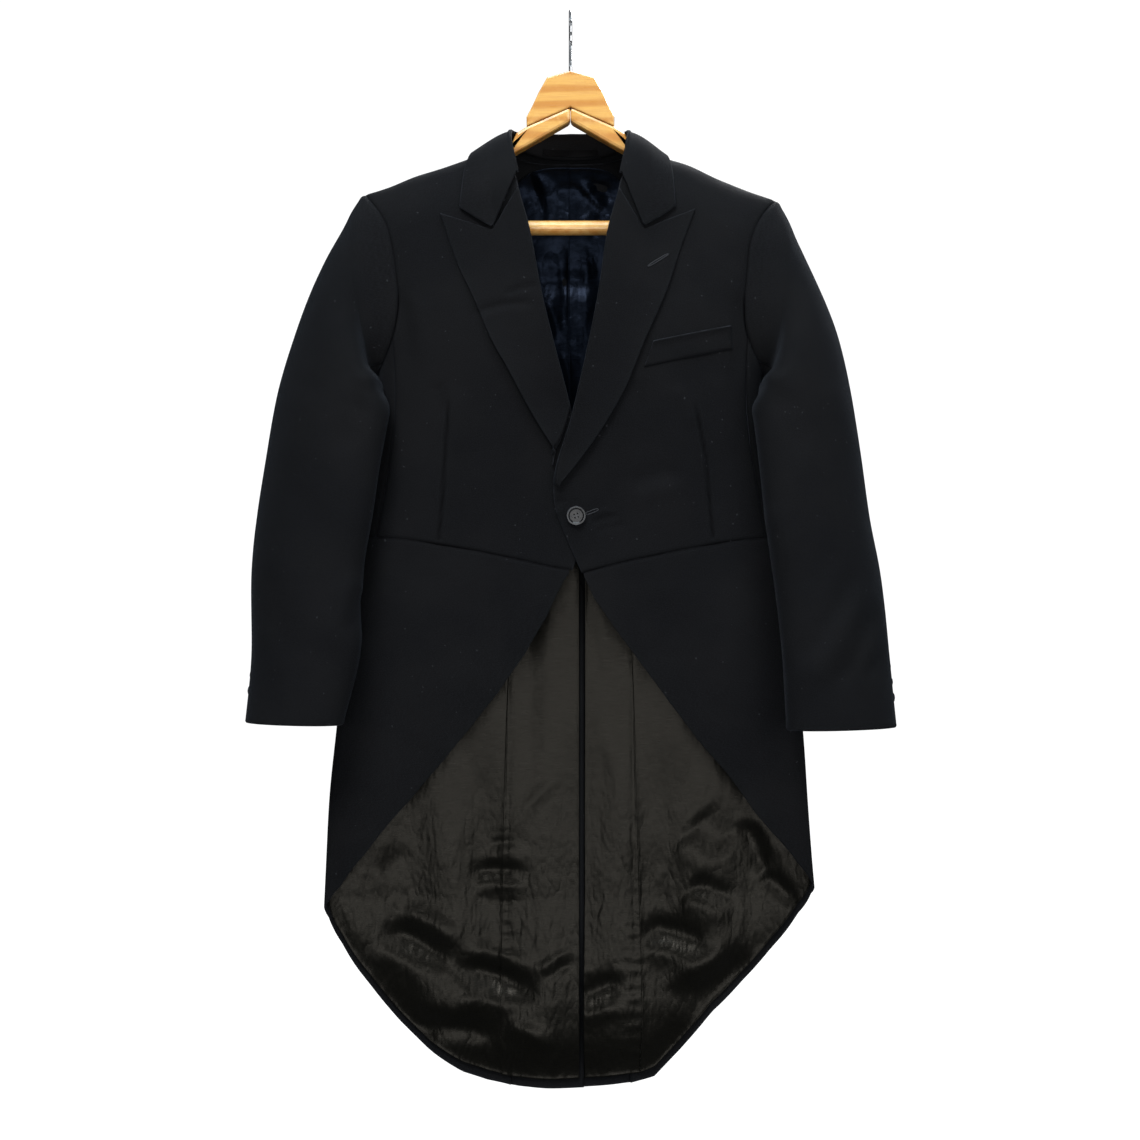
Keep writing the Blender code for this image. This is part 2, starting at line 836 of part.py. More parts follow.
HEM_ON_COAT = Smooth(sighted_by_place(HEM, BACK))
SEAM_STEPS = 7
NECK_COLUMNS = (0.0, 24.0, 46.0, 61.0)
ARMHOLE_ROWS = (0.0, 0.035, 0.11, 0.22, 0.35, 0.5, 0.66, 0.82)
TAIL_STEPS = 10


def back_rows(side):
    """Rows that meet the side body's and the skirt's own rows, and the vent's step."""
    tip = ridge_drop(side * ARMHOLE[side][0][1])
    foot = hem_drop(back_outer(side, PLEAT_FOOT))
    drops = [blend(tip, BACK_SEAM_TOP, share) for share in ARMHOLE_ROWS]
    drops += [blend(BACK_SEAM_TOP, WAIST_BACK, k / SEAM_STEPS) for k in range(SEAM_STEPS + 1)]
    drops += [blend(WAIST_BACK, foot, k / TAIL_STEPS) for k in range(1, TAIL_STEPS + 1)]
    rows = [(drop - tip) / (foot - tip) for drop in drops]
    centre_foot = hem_drop(CENTRE_BACK + vent_shift(side, CENTRE_FOOT))
    for drop in (VENT_TOP - 14.0, VENT_TOP, VENT_TOP + VENT_STEP):
        rows.append((drop - BACK_NECK) / (centre_foot - BACK_NECK))
    return sorted(rows)


def back_columns(side):
    """From the centre out, meeting the forepart's columns along the shoulder seam."""
    tip = ARMHOLE[side][0][1]
    places = list(NECK_COLUMNS) + [blend(NECK_POINT, tip, share) for share in SHOULDER_COLUMNS]
    width = side * tip - CENTRE_BACK
    return [0.0] + [(side * place - CENTRE_BACK) / width for place in places[1:]]


def make_backs():
    for side, name in ((LEFT, "back_left"), (RIGHT, "back_right")):
        wall(name, back_surface(side), back_columns(side), back_rows(side), "coat_cloth", (0, 1, 0))


def skirt_end(side, turn):
    """The drop at which an upright line at this turn meets the cutaway edge or the hem."""

    def is_short(drop):
        x = round_point(side, turn, drop)[0]
        if turn < 0:
            return drop < CUTAWAY_ON_COAT[side](side * x)[0]
        return drop < hem_drop(x)

    return halve(560.0, 1135.0, is_short)


def skirt_turns(side):
    """Upright lines from the front edge round the fold to the pleat."""
    places = (SKIRT_START[side], 26, 48, 74, 102, 130, 158, 184)
    front = [turn_of(side, x, SKIRT_GAUGE, FRONT) for x in places]
    fold = [-38, -24, -12, 0, 12, 26, 40]
    back = [turn_of(side, x, SKIRT_GAUGE, BACK) for x in (165, 135, 105, 80)]
    return front + fold + back + [pleat_turn(side)]


def skirt_top(side, turn):
    point = round_point(side, turn, WAIST_BACK)
    return waist_drop(point[0], side) if turn < 0 else WAIST_BACK


def along_list(values, share):
    """A value between the items of a list, at a share of its whole length."""
    place = min(max(share, 0.0), 1.0) * (len(values) - 1)
    index = min(int(place), len(values) - 2)
    return blend(values[index], values[index + 1], share * (len(values) - 1) - index)


def skirt_surface(side):
    turns = skirt_turns(side)
    tops = [skirt_top(side, turn) for turn in turns]
    ends = [skirt_end(side, turn) for turn in turns]

    def surface(u, v):
        turn = along_list(turns, u)
        drop = blend(along_list(tops, u), along_list(ends, u), v)
        return round_point(side, turn, drop)

    return surface, spread(len(turns) - 1)


def make_skirts():
    for side, name in ((LEFT, "skirt_left"), (RIGHT, "skirt_right")):
        surface, across = skirt_surface(side)
        wall(name, surface, across, spread(10), "coat_cloth", (0, -1, 0))


def lining_seam_turn(side):
    return turn_of(side, LINING_SEAM, SKIRT_GAUGE, BACK)


def back_lining_surface(side):
    """From the centre seam and the vent's edge out to the seam with the skirt lining."""

    def surface(u, v):
        top_x = blend(CENTRE_BACK, side * LINING_TOP, u)
        top_drop = BACK_NECK + 2.0 + LINING_DIP * (abs(top_x) / LINING_TOP) ** NECK_SQUARENESS
        foot_x = blend(CENTRE_BACK + VENT_LAP, side * LINING_SEAM, u)
        drop = blend(top_drop, hem_drop(foot_x) - HEM_BORDER, v)
        step = ease(drop, *VENT_LINING_DROPS)
        border = -VENT_BORDER if side == LEFT else VENT_REACH
        inner = CENTRE_BACK + (VENT_LAP - CENTRE_BACK + border) * step
        seam = round_point(side, lining_seam_turn(side), drop)[0]
        outer = blend(side * LINING_TOP, seam, ease(drop, *LINING_SPREAD))
        x = blend(inner, outer, u)
        point = coat_point(x, drop, BACK)
        point[1] -= vent_tuck(side, x, drop)
        return point

    return surface


def skirt_lining_surface(side):
    """The skirt's own upright lines, from the seam with the back lining to near the side fold."""
    turns = [turn_of(side, x, SKIRT_GAUGE, BACK) for x in (LINING_SEAM + 0.6, 80, 105, 135, 165)]
    turns += [40, 26, 12, 9]
    start = WAIST_BACK + SKIRT_LINING_START
    ends = [skirt_end(side, turn) - HEM_BORDER for turn in turns]

    def surface(u, v):
        turn = along_list(turns, u)
        return round_point(side, turn, blend(start, along_list(ends, u), v))

    return surface, spread(len(turns) - 1)


def make_linings():
    inset = CLOTH + LINING_GAP
    rows = [0.0, 0.012, 0.025, 0.04, 0.06, 0.085, 0.12, 0.18, 0.25, 0.32, 0.385, 0.42, 0.435,
            0.46, 0.48, 0.53, 0.6, 0.67, 0.74, 0.81, 0.88, 0.94, 1.0]
    for side, word in ((LEFT, "left"), (RIGHT, "right")):
        wall("lining_back_" + word, back_lining_surface(side), spread(5), rows, "tail_lining",
             (0, 1, 0), LINING, -inset)
        surface, across = skirt_lining_surface(side)
        wall("lining_skirt_" + word, surface, across, spread(10), "tail_lining",
             (0, 1, 0), LINING, -inset, (0.0,) * 4)


def armhole_point(side, turn):
    """The armhole from the shoulder tip (0) by the front (90) and underarm (180) to the back."""
    tip_drop = ARMHOLE[side][0][0]
    angle = math.radians(turn)
    drop = blend(tip_drop, UNDERARM_DROP, (1 - math.cos(angle)) / 2)
    face = FRONT if math.sin(angle) > 0 else BACK
    point = coat_point(armhole_place(side, drop), drop, face)
    point[0] += side * ARMHOLE_GAP
    return point


def sleeve_ring_point(side, row, turn):
    """A point of the sleeve's ring: 0 is its outer tip, 90 its front, 180 its inner tip."""
    ring = SLEEVE_CURVE[side](row)
    outer = np.array((ring[0], ring[2], -ring[1]))
    inner = np.array((ring[3], ring[5], -ring[4]))
    half = (outer - inner) / 2
    front = np.array((0.0, -1.0, 0.0))
    front = unit(front - unit(half) * np.dot(front, unit(half)))
    angle = math.radians(turn)
    thickness = ring[6] if math.sin(angle) > 0 else ring[7]
    return (outer + inner) / 2 + half * math.cos(angle) + front * thickness * math.sin(angle)


def fold_rise(side, point):
    """How far the forearm's folds stand out at a point, by its distance from each fold's line."""
    rise = 0.0
    for x0, drop0, x1, drop1, width, height in SLEEVE_FOLDS[side]:
        run_x, run_drop = x1 - x0, drop1 - drop0
        length = math.hypot(run_x, run_drop)
        past_x, past_drop = point[0] - x0, -point[2] - drop0
        along = (past_x * run_x + past_drop * run_drop) / length ** 2
        aside = (past_x * run_drop - past_drop * run_x) / length
        fade = ease(along, -0.2, 0.2) * (1 - ease(along, 0.7, 1.2))
        rise += height * fade * math.exp(-((aside / width) ** 2))
    return rise


def sleeve_surface(side, start_seam, end_seam, wrap):
    """From one sleeve seam to the other, and from the armhole to the cuff."""
    last = len(SLEEVE_RINGS[side]) - 1

    def surface(u, v):
        row = v * last
        first = blend(start_seam[0], start_seam[1], min(max(v, 0.0), 1.0))
        second = blend(end_seam[0], end_seam[1], min(max(v, 0.0), 1.0)) + wrap
        turn = blend(first, second, u)
        twist = SLEEVE_TWIST * ease(row, 1.0, 6.0) * (1 - math.cos(math.radians(turn))) / 2
        free = sleeve_ring_point(side, row, turn + twist)
        shown = ease(turn, *FOLD_TURNS[:2]) * (1 - ease(turn, *FOLD_TURNS[2:]))
        free[1] -= fold_rise(side, free) * shown
        share = ease(row, 0.0, SLEEVE_BLEND)
        return blend(armhole_point(side, turn), free, share)

    return surface


SLEEVE_ROWS = [0.0, 0.035, 0.08, 0.14, 0.20, 0.27, 0.34, 0.42, 0.5, 0.58, 0.65,
               0.70, 0.74, 0.78, 0.82, 0.86, 0.90, 0.95, 1.0]


def make_sleeves():
    gaps = (SLEEVE_SEAM / 2, SLEEVE_SEAM / 2, 0.0, 0.0)
    for side, word in ((LEFT, "left"), (RIGHT, "right")):
        top = sleeve_surface(side, HIND_SEAM, FOREARM_SEAM, 0.0)
        under = sleeve_surface(side, FOREARM_SEAM, HIND_SEAM, 360.0)
        wall("top_sleeve_" + word, top, spread(11), SLEEVE_ROWS, "coat_cloth",
             (side, 0, 0), CLOTH, 0.0, gaps, True)
        wall("under_sleeve_" + word, under, spread(8), SLEEVE_ROWS, "coat_cloth",
             (-side, 0, 0), CLOTH, 0.0, gaps, True)


def lapel_surface(side):
    """From the roll line to the outer edge, and from the gorge and peak to the lapel's foot."""
    edge_rows = LAPEL_ROWS[side]
    gorge = sighted(*GORGE_INNER[side], FRONT)
    notch = sighted(*NOTCH[side], FRONT)
    foot_drop = edge_rows[-1][0]
    peak_drop, peak_x = edge_rows[0]

    def surface(u, v):
        roll_drop = blend(gorge[1], foot_drop, v)
        edge_drop = blend(peak_drop, foot_drop, v)
        roll_x = roll_place(side, roll_drop)
        if side == LEFT:
            roll_x = min(roll_x, roll_place(RIGHT, roll_drop) - LAPEL_CLEARANCE)
        edge_x = LAPEL_ON_COAT[side](edge_drop)[0]
        share = min(max(u, 0.0), 1.0)
        x = blend(roll_x, edge_x, u)
        drop = blend(roll_drop, edge_drop, u)
        straight = np.array((blend(gorge[0], peak_x, NOTCH_SHARE),
                             blend(gorge[1], peak_drop, NOTCH_SHARE)))
        bend = np.array(notch) - straight
        if share < NOTCH_SHARE:
            tent = share / NOTCH_SHARE
        else:
            tent = (1 - share) / (1 - NOTCH_SHARE)
        fade = max(1 - v, 0.0) ** 6
        x += bend[0] * tent * fade
        drop += bend[1] * tent * fade
        point = coat_point(x, drop, FRONT)
        if side == LEFT:
            point[1] += tuck_under(x, drop)
        point[1] -= ROLL_LIFT * max(1 - u, 0.0) ** 2
        return point

    return surface


def make_lapels():
    across = [0.0, 0.08, 0.2, NOTCH_SHARE, 0.55, 0.78, 1.0]
    rows = [0.0, 0.04, 0.1, 0.18, 0.28, 0.4, 0.52, 0.64, 0.76, 0.88, 0.97]
    for side, name in ((LEFT, "lapel_left"), (RIGHT, "lapel_right")):
        wall(name, lapel_surface(side), across, rows, "coat_cloth", (0, -1, 0),
             CANVASED, CANVASED + LAYER_GAP, (0.0, 0.0, 1.0, 0.0))


def collar_point(side, station, share):
    """A point of the collar between its fold (0) and its fall edge (1), over the shoulder.

    Towards its front end the collar is drawn down to the notch, where it meets the lapel.
    """
    last = len(COLLAR[side]) - 1
    fold_x, fold_turn, fold_lift, edge_x, edge_turn, edge_lift = COLLAR_CURVE[side](station)
    lift = blend(fold_lift, edge_lift, share) + COLLAR_BULGE * 4 * share * (1 - share)
    notch_x, notch_drop = sighted(*NOTCH[side], FRONT)
    end = COLLAR[side][last]
    bend_x = notch_x - blend(end[0], end[3], COLLAR_NOTCH_SHARE)
    notch_turn = shoulder_turn(notch_x, notch_drop) + COLLAR_END_GAP
    bend_turn = notch_turn - blend(end[1], end[4], COLLAR_NOTCH_SHARE)
    near_end = ease(station, last - 1.3, last)
    if share < COLLAR_NOTCH_SHARE:
        tent = max(share, 0.0) / COLLAR_NOTCH_SHARE
    else:
        tent = max(1 - share, 0.0) / (1 - COLLAR_NOTCH_SHARE)
    x = blend(fold_x, edge_x, share) + bend_x * tent * near_end
    turn = blend(fold_turn, edge_turn, share) + bend_turn * tent * near_end
    return over_shoulder(x, turn, lift)


def collar_station(share):
    """The side and the station from 0 at centre back to 5, from a share of the whole collar."""
    side = LEFT if share < 0.5 else RIGHT
    return side, abs(share - 0.5) * 2 * (len(COLLAR[LEFT]) - 1)


def collar_surface(u, v):
    """u runs from the left front end round the back of the neck, v from the fold to the edge."""
    side, station = collar_station(u)
    return collar_point(side, station, v)


def stand_surface(u, v):
    """The neck side of the collar stand, from just under the fold down to the neck seam."""
    side, station = collar_station(u)
    fold = collar_point(side, station, 0.0)
    share, turn, lift = STAND_CURVE(station)
    bottom = over_shoulder(COLLAR_CURVE[side](station)[0] * share, turn, lift)
    inward = unit(np.array((-fold[0], STAND_AIM - fold[1], 0.0)))
    inset = blend(STAND_INSET, STAND_FOOT_INSET, v)
    return blend(fold, bottom, blend(STAND_START, 1.0, v)) + inward * inset


COLLAR_STEPS = [0.0, 0.04, 0.09, 0.15, 0.21, 0.27, 0.33, 0.39, 0.45, 0.5]


def make_collar():
    across = COLLAR_STEPS + [1 - s for s in reversed(COLLAR_STEPS[:-1])]
    wall("collar_fall", collar_surface, across, [0.0, 0.25, COLLAR_NOTCH_SHARE, 0.75, 1.0],
         "coat_cloth", (0, -1, 0.2), CANVASED, 0.0, (0.0,) * 4)
    wall("collar_stand", stand_surface, across, [0.0, 0.33, 0.66, 1.0],
         "coat_cloth", (1, 0, 0), CLOTH, 0.0, (0.0,) * 4)


def make_welt():
    corners = [np.array(sighted(*corner, FRONT)) for corner in WELT_CORNERS]

    def surface(u, v):
        top = blend(corners[0], corners[1], u)
        bottom = blend(corners[3], corners[2], u)
        x, drop = blend(top, bottom, v)
        return coat_point(x, drop, FRONT)

    wall("breast_welt", surface, spread(5), spread(2), "coat_cloth", (0, -1, 0),
         WELT, WELT + LAYER_GAP, (0.0,) * 4)


def make_label():
    """A bare strip on the inner face of the stand, at centre back."""
    end = halve(0.5, 0.7, lambda share: stand_surface(share, 0.5)[0] < LABEL_WIDTH / 2)
    half = end - 0.5
    top = -stand_surface(0.5, 0.0)[2]
    height = -stand_surface(0.5, 1.0)[2] - top
    start = (LABEL_DROP - LABEL_HEIGHT / 2 - top) / height

    def surface(u, v):
        return stand_surface(0.5 + half * (2 * u - 1), start + LABEL_HEIGHT / height * v)

    wall("neck_label", surface, spread(8), spread(1), "label_cloth", (0, -1, 0),
         LABEL, LABEL + LAYER_GAP + 0.2, (0.0,) * 4)


def lathe(name, profile, place, axis, finish, sides=24):
    """A turned solid: profile rows are radius and height along the axis from its foot."""
    axis = unit(np.asarray(axis, float))
    side_axis = unit(np.cross(axis, (0.0, 0.0, 1.0) if abs(axis[2]) < 0.9 else (1.0, 0.0, 0.0)))
    other = np.cross(axis, side_axis)
    points, faces = [], []
    for radius, height in profile:
        for i in range(sides):
            angle = 2 * math.pi * i / sides
            spoke = side_axis * math.cos(angle) + other * math.sin(angle)
            points.append(np.asarray(place) + axis * height + spoke * radius)
    for ring in range(len(profile) - 1):
        for i in range(sides):
            j = (i + 1) % sides
            a, b = ring * sides, (ring + 1) * sides
            faces.append([a + i, a + j, b + j, b + i])
    faces.append(list(range(sides))[::-1])
    top = (len(profile) - 1) * sides
    faces.append([top + i for i in range(sides)])
    return solid_from(name, points, faces, finish)


def button(name, place, axis, radius, thick, sides):
    """A dished button with a raised rim."""
    profile = (
        (radius * 0.80, 0.0),
        (radius, thick * 0.50),
        (radius * 0.94, thick),
        (radius * 0.80, thick),
        (radius * 0.66, thick * 0.72),
    )
    return lathe(name, profile, place, axis, "button_horn", sides)


def drill(obj, name, centre, axis, radius, depth, sides=12):
    """Cuts a round hole with a hidden cutter."""
    cutter = lathe(name, ((radius, -depth), (radius, depth)), centre, axis, "button_horn", sides)
    cutter.hide_render = True
    cutter.display_type = "WIRE"
    cut = obj.modifiers.new(name, "BOOLEAN")
    cut.operation = "DIFFERENCE"
    cut.object = cutter


def make_front_button():
    x, drop = sighted(*FRONT_BUTTON_PLACE, FRONT)
    surface_point = coat_point(x, drop, FRONT)
    place = surface_point - np.array((0.0, BUTTON_GAP, 0.0))
    obj = button("front_button", place, (0, -1, 0), FRONT_BUTTON, BUTTON_THICK, 28)
    for i in range(4):
        angle = math.radians(BUTTON_HOLE_TURN + 90 * i)
        aside = BUTTON_HOLE_SPREAD * np.array((math.cos(angle), 0.0, math.sin(angle)))
        at = place + aside - np.array((0.0, 1.0, 0.0))
        drill(obj, f"front_button_hole_{i + 1}", at, (0, -1, 0), BUTTON_HOLE, 2 * BUTTON_THICK, 8)


def make_back_buttons():
    for side, name in ((LEFT, "back_button_left"), (RIGHT, "back_button_right")):
        drop = WAIST_BACK + 8.0
        x = round_point(side, pleat_turn(side), drop)[0] - side * 6.0
        place = coat_point(x, drop, BACK) + np.array((0.0, LAYER_GAP + 0.4, 0.0))
        button(name, place, (0, 1, 0), BACK_BUTTON, BUTTON_THICK, 18)


def make_cuff_buttons():
    for side, word in ((LEFT, "left"), (RIGHT, "right")):
        surface = sleeve_surface(side, HIND_SEAM, FOREARM_SEAM, 0.0)
        u = CUFF_BUTTON_PLACE
        for number, drop in enumerate(CUFF_BUTTON_DROPS[side], 1):
            v = halve(0.7, 1.0, lambda share: -surface(u, share)[2] < drop)
            out = surface_normal(surface, u, v)
            if out[0] * side < 0:
                out = -out
            place = surface(u, v) + out * CUFF_BUTTON_GAP
            button(f"cuff_button_{word}_{number}", place, out, CUFF_BUTTON, CUFF_BUTTON_THICK, 14)


def plate(name, outline, half_thickness, finish):
    """A flat shape seen from the front, with its edges rounded."""
    points = [np.array((x, -half_thickness, -drop)) for x, drop in outline]
    points += [np.array((x, half_thickness, -drop)) for x, drop in outline]
    count = len(outline)
    faces = [list(range(count)), list(range(2 * count - 1, count - 1, -1))]
    for i in range(count):
        j = (i + 1) % count
        faces.append([j, i, count + i, count + j])
    return solid_from(name, points, faces, finish)


def make_hanger():
    half_gap = SEAM / 2
    for side, name in ((LEFT, "hanger_arm_left"), (RIGHT, "hanger_arm_right")):
        outline = [(half_gap, JOINT_APEX + SEAM), (JOINT_END[0], JOINT_END[1] + SEAM)]
        outline += list(ARM_TOP) + list(ARM_BOTTOM) + [(half_gap, ARM_APEX)]
        outline = [(side * x, drop) for x, drop in outline]
        arm = plate(name, outline, ARM_HALF_THICKNESS, "hanger_wood")
        round_edges(arm, ARM_ROUNDING)
        socket_end = BAR_HALF_LENGTH + SOCKET_CLEARANCE
        centre = np.array((side * (socket_end - SOCKET_DEPTH), 0.0, -BAR_DROP))
        radius = BAR_RADIUS + SOCKET_CLEARANCE
        drill(arm, name + "_socket", centre, (1, 0, 0), radius, SOCKET_DEPTH, 24)
    block = [(0.0, BLOCK_TOP)]
    right = [(x, drop) for x, drop in BLOCK_SIDE] + [JOINT_END, (0.0, JOINT_APEX)]
    block += right + [(-x, drop) for x, drop in reversed(right[:-1])]
    body = plate("hanger_block", block, BLOCK_HALF_THICKNESS, "hanger_wood")
    round_edges(body, BLOCK_ROUNDING)
    hole = np.array((0.0, 0.0, -BLOCK_TOP))
    drill(body, "hook_bore", hole, (0, 0, 1), HOOK_WIRE + SOCKET_CLEARANCE, HOOK_SEAT, 12)
    start = np.array((-BAR_HALF_LENGTH, 0.0, -BAR_DROP))
    bar = ((BAR_RADIUS - 1.0, 0.0), (BAR_RADIUS, 1.0),
           (BAR_RADIUS, 2 * BAR_HALF_LENGTH - 1.0), (BAR_RADIUS - 1.0, 2 * BAR_HALF_LENGTH))
    lathe("trouser_bar", bar, start, (1, 0, 0), "hanger_wood", 24)


def round_edges(obj, width):
    bevel = obj.modifiers.new("rounding", "BEVEL")
    bevel.width = width * MM
    bevel.segments = 2
    bevel.limit_method = "ANGLE"
    bevel.angle_limit = math.radians(50)


def hook_route():
    """The wire's centre line: stem, bend and round hook, in the plane across the hanger."""
    radius = HOOK_INSIDE + HOOK_WIRE
    foot = -BLOCK_TOP - HOOK_SEAT + 0.5
    route = [(0.0, foot), (0.0, -BLOCK_TOP), (0.0, -BLOCK_TOP + HOOK_STEM), HOOK_BEND]
    for degrees in range(-50, 196, 15):
        angle = math.radians(degrees)
        route.append((radius * math.cos(angle), -HOOK_INSIDE + radius * math.sin(angle)))
    return [np.array((0.0, y, z)) for y, z in route]


def make_hook():
    curve = bpy.data.curves.new("hanger_hook", "CURVE")
    curve.dimensions = "3D"
    curve.bevel_depth = HOOK_WIRE * MM
    curve.bevel_resolution = 2
    curve.use_fill_caps = True
    route = hook_route()
    spline = curve.splines.new("POLY")
    spline.points.add(len(route) - 1)
    for point, at in zip(spline.points, route):
        point.co = (*(at * MM), 1.0)
    obj = bpy.data.objects.new("hanger_hook", curve)
    bpy.context.scene.collection.objects.link(obj)
    curve.materials.append(finish_of("hanger_hook_steel", *FINISHES["hook_steel"]))


clear_scene()
make_foreparts()
make_side_bodies()
make_backs()
make_skirts()
make_linings()
make_sleeves()
make_lapels()
make_collar()
make_welt()
make_label()
make_front_button()
make_back_buttons()
make_cuff_buttons()
make_hanger()
make_hook()
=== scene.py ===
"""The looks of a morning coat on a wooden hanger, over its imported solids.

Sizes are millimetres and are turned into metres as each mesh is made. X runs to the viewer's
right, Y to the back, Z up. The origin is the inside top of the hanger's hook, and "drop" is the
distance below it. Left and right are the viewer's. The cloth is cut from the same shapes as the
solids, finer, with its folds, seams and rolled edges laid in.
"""

import bisect
import math

import bpy
import numpy as np
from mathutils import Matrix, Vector


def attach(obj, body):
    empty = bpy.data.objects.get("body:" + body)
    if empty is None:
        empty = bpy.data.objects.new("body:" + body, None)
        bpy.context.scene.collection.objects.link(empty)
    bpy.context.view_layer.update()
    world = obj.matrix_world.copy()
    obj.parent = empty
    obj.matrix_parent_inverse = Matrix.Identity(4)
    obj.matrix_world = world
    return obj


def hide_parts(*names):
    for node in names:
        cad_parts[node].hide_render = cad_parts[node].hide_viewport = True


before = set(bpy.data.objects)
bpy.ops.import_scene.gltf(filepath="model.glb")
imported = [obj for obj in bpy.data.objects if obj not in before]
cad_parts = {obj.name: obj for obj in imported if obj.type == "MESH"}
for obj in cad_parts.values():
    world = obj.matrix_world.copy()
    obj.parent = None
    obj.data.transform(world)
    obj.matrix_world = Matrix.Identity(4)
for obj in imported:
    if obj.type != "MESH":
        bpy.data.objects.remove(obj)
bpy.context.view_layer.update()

MM = 0.001
LEFT, RIGHT = -1, 1
FRONT, BACK = -1, 1

# Cloth
CLOTH = 1.6
CANVASED = 2.2
SEAM = 0.3
LAYER_GAP = 0.4
# Where the left forepart slips inside the right one: from and to place, from and to drop
TUCK_GAP = 0.7
TUCK_PLACES = (-62.0, -30.0)
TUCK_DROPS = (380.0, 420.0)

# The photo's outline was measured on the middle plane, from this far in front and at this drop
SIGHT_DISTANCE = 2200.0
SIGHT_DROP = 584.0

# The coat's ring at each drop: half widths, front depth and back depth
ROUNDNESS = 2.6
RINGS = (
    # drop, left, right, front, back
    (120, 224, 222, 50, 36), (200, 224, 222, 56, 42), (260, 223, 221, 61, 45), (300, 217, 216, 63, 45),
    (340, 209, 209, 63, 44), (380, 203, 203, 61, 42), (430, 201, 202, 57, 38), (480, 207, 207, 52, 33),
    (551, 217, 215, 46, 28), (620, 229, 227, 43, 26), (700, 240, 238, 38, 24), (745, 245, 243, 34, 23),
    (820, 253, 249, 27, 21), (887, 257, 255, 19, 18), (937, 259, 259, 12, 16), (1130, 262, 262, 8, 12),
)

# The shoulder ridge, where front and back meet over the hanger's arms
RIDGE_DEPTH = 2.0
RIDGE_ROUND = 60.0
RIDGE = (
    # distance from the centre, left drop, right drop
    (0, 139, 139), (71, 140.5, 142), (98, 150, 153), (130, 160, 163), (160, 170, 175), (190, 183, 188.5),
    (215, 190, 196), (230, 193, 200),
)
NECK_POINT = 71.0
NECK_RUN = 45.0

# The armhole seam seen from the front, down to the underarm
ARMHOLE = {
    # drop, distance from the centre
    LEFT: (
        (190, 215), (205, 204), (226, 191), (250, 184), (277, 180), (299, 178), (330, 181), (355, 188.5),
        (370, 196), (380, 203),
    ),
    RIGHT: (
        (196, 215), (207, 205), (222, 195), (245, 186), (277, 182), (304, 180), (335, 182), (355, 188.5),
        (370, 196), (380, 203),
    ),
}
UNDERARM_DROP = 380.0
SIDE_SEAM_TOP = 345.0
SIDE_SEAM_WAIST = 203.0
BACK_SEAM_TOP = 292.0
BACK_SEAM_WAIST = 52.0
BACK_SEAM_BEND = 9.0

# The waist seam rises from the front edge to the sides
WAIST = (
    # distance from the centre, left drop, right drop
    (0, 584, 590), (15, 581.5, 586), (62, 571, 574), (137, 557, 559), (165, 553, 554), (185, 551, 552),
    (213, 550, 550),
)
WAIST_BACK = 550.0

# The roll line and the front edge below it: drop, place
ROLL = {
    LEFT: ((122, -61), (181, -55), (217, -45), (293, -30), (422, 2), (490, 17), (540, 15), (590, 0)),
    RIGHT: (
        (123, 57), (182, 51), (218, 41), (293, 29), (358, 16), (422, 1), (500, -18), (518, -16), (543, -7),
        (571, 5), (592, 14),
    ),
}

# The lapels' outer edges from the peak down: drop, place
LAPEL_EDGE = {
    LEFT: (
        (209, -137), (279, -111), (291, -105), (353, -77), (368, -68), (419, -41), (455, -18), (476, -4),
    ),
    RIGHT: ((204, 131), (242, 117), (289, 101), (344, 77), (395, 56), (441, 29), (470, 8), (497, -14)),
}
# The lapel's top edge runs from the gorge's inner end through the notch to the peak
GORGE_INNER = {LEFT: (-55, 181), RIGHT: (51, 182)}
NOTCH = {LEFT: (-82, 227), RIGHT: (77, 226)}
NOTCH_SHARE = 0.36
LAPEL_CLEARANCE = 3.4
ROLL_LIFT = 3.6

# The cutaway edge of the skirts: distance from the centre, drop
CUTAWAY = {
    LEFT: (
        (0, 585), (17, 613), (24, 630), (51, 677), (88, 728), (125, 773), (159, 815), (186, 844),
        (225, 894), (253, 930), (259, 937),
    ),
    RIGHT: (
        (13, 588), (20, 604), (50, 650), (87, 699), (126, 753), (173, 809), (186, 828), (225, 875),
        (252, 908), (259, 918),
    ),
}
SKIRT_START = {LEFT: 2.0, RIGHT: 15.0}
# The drops at which the skirts' upright lines are spaced, and at which the tails' feet are taken
SKIRT_GAUGE = 700.0
CENTRE_FOOT = 1100.0
PLEAT_FOOT = 1120.0
# The hem of the tails, from fold to fold: place, drop
HEM = (
    (-262, 930), (-253, 951), (-233, 985), (-206, 1024), (-182, 1053), (-147, 1087), (-108, 1112),
    (-80, 1120), (-41, 1126), (6, 1126), (53, 1122), (85, 1116), (104, 1102), (123, 1075), (159, 1036),
    (194, 1000), (229, 957), (262, 911),
)
HEM_BORDER = 10.0
LINING_GAP = 0.9
LINING_TOP = 72.0
LINING_DIP = 43.0
LINING_SEAM = 66.0
LINING_SPREAD = (380.0, 550.0)
SKIRT_LINING_START = 12.0
FLUTE_DEPTH = 3.0
FLUTE_WIDTH = 92.0

# The centre vent: the left tail lies inside the right one
CENTRE_BACK = -1.5
BACK_NECK = 153.0
NECK_SQUARENESS = 4
VENT_TOP = 590.0
VENT_STEP = 12.0
VENT_LAP = 14.0
VENT_BORDER = 5.0
VENT_REACH = 1.6
VENT_TUCK_GAP = 0.6
VENT_TUCK_PLACES = (-45.0, -20.0)
VENT_TUCK_DROPS = (545.0, 572.0)
VENT_LINING_DROPS = (568.0, 584.0)

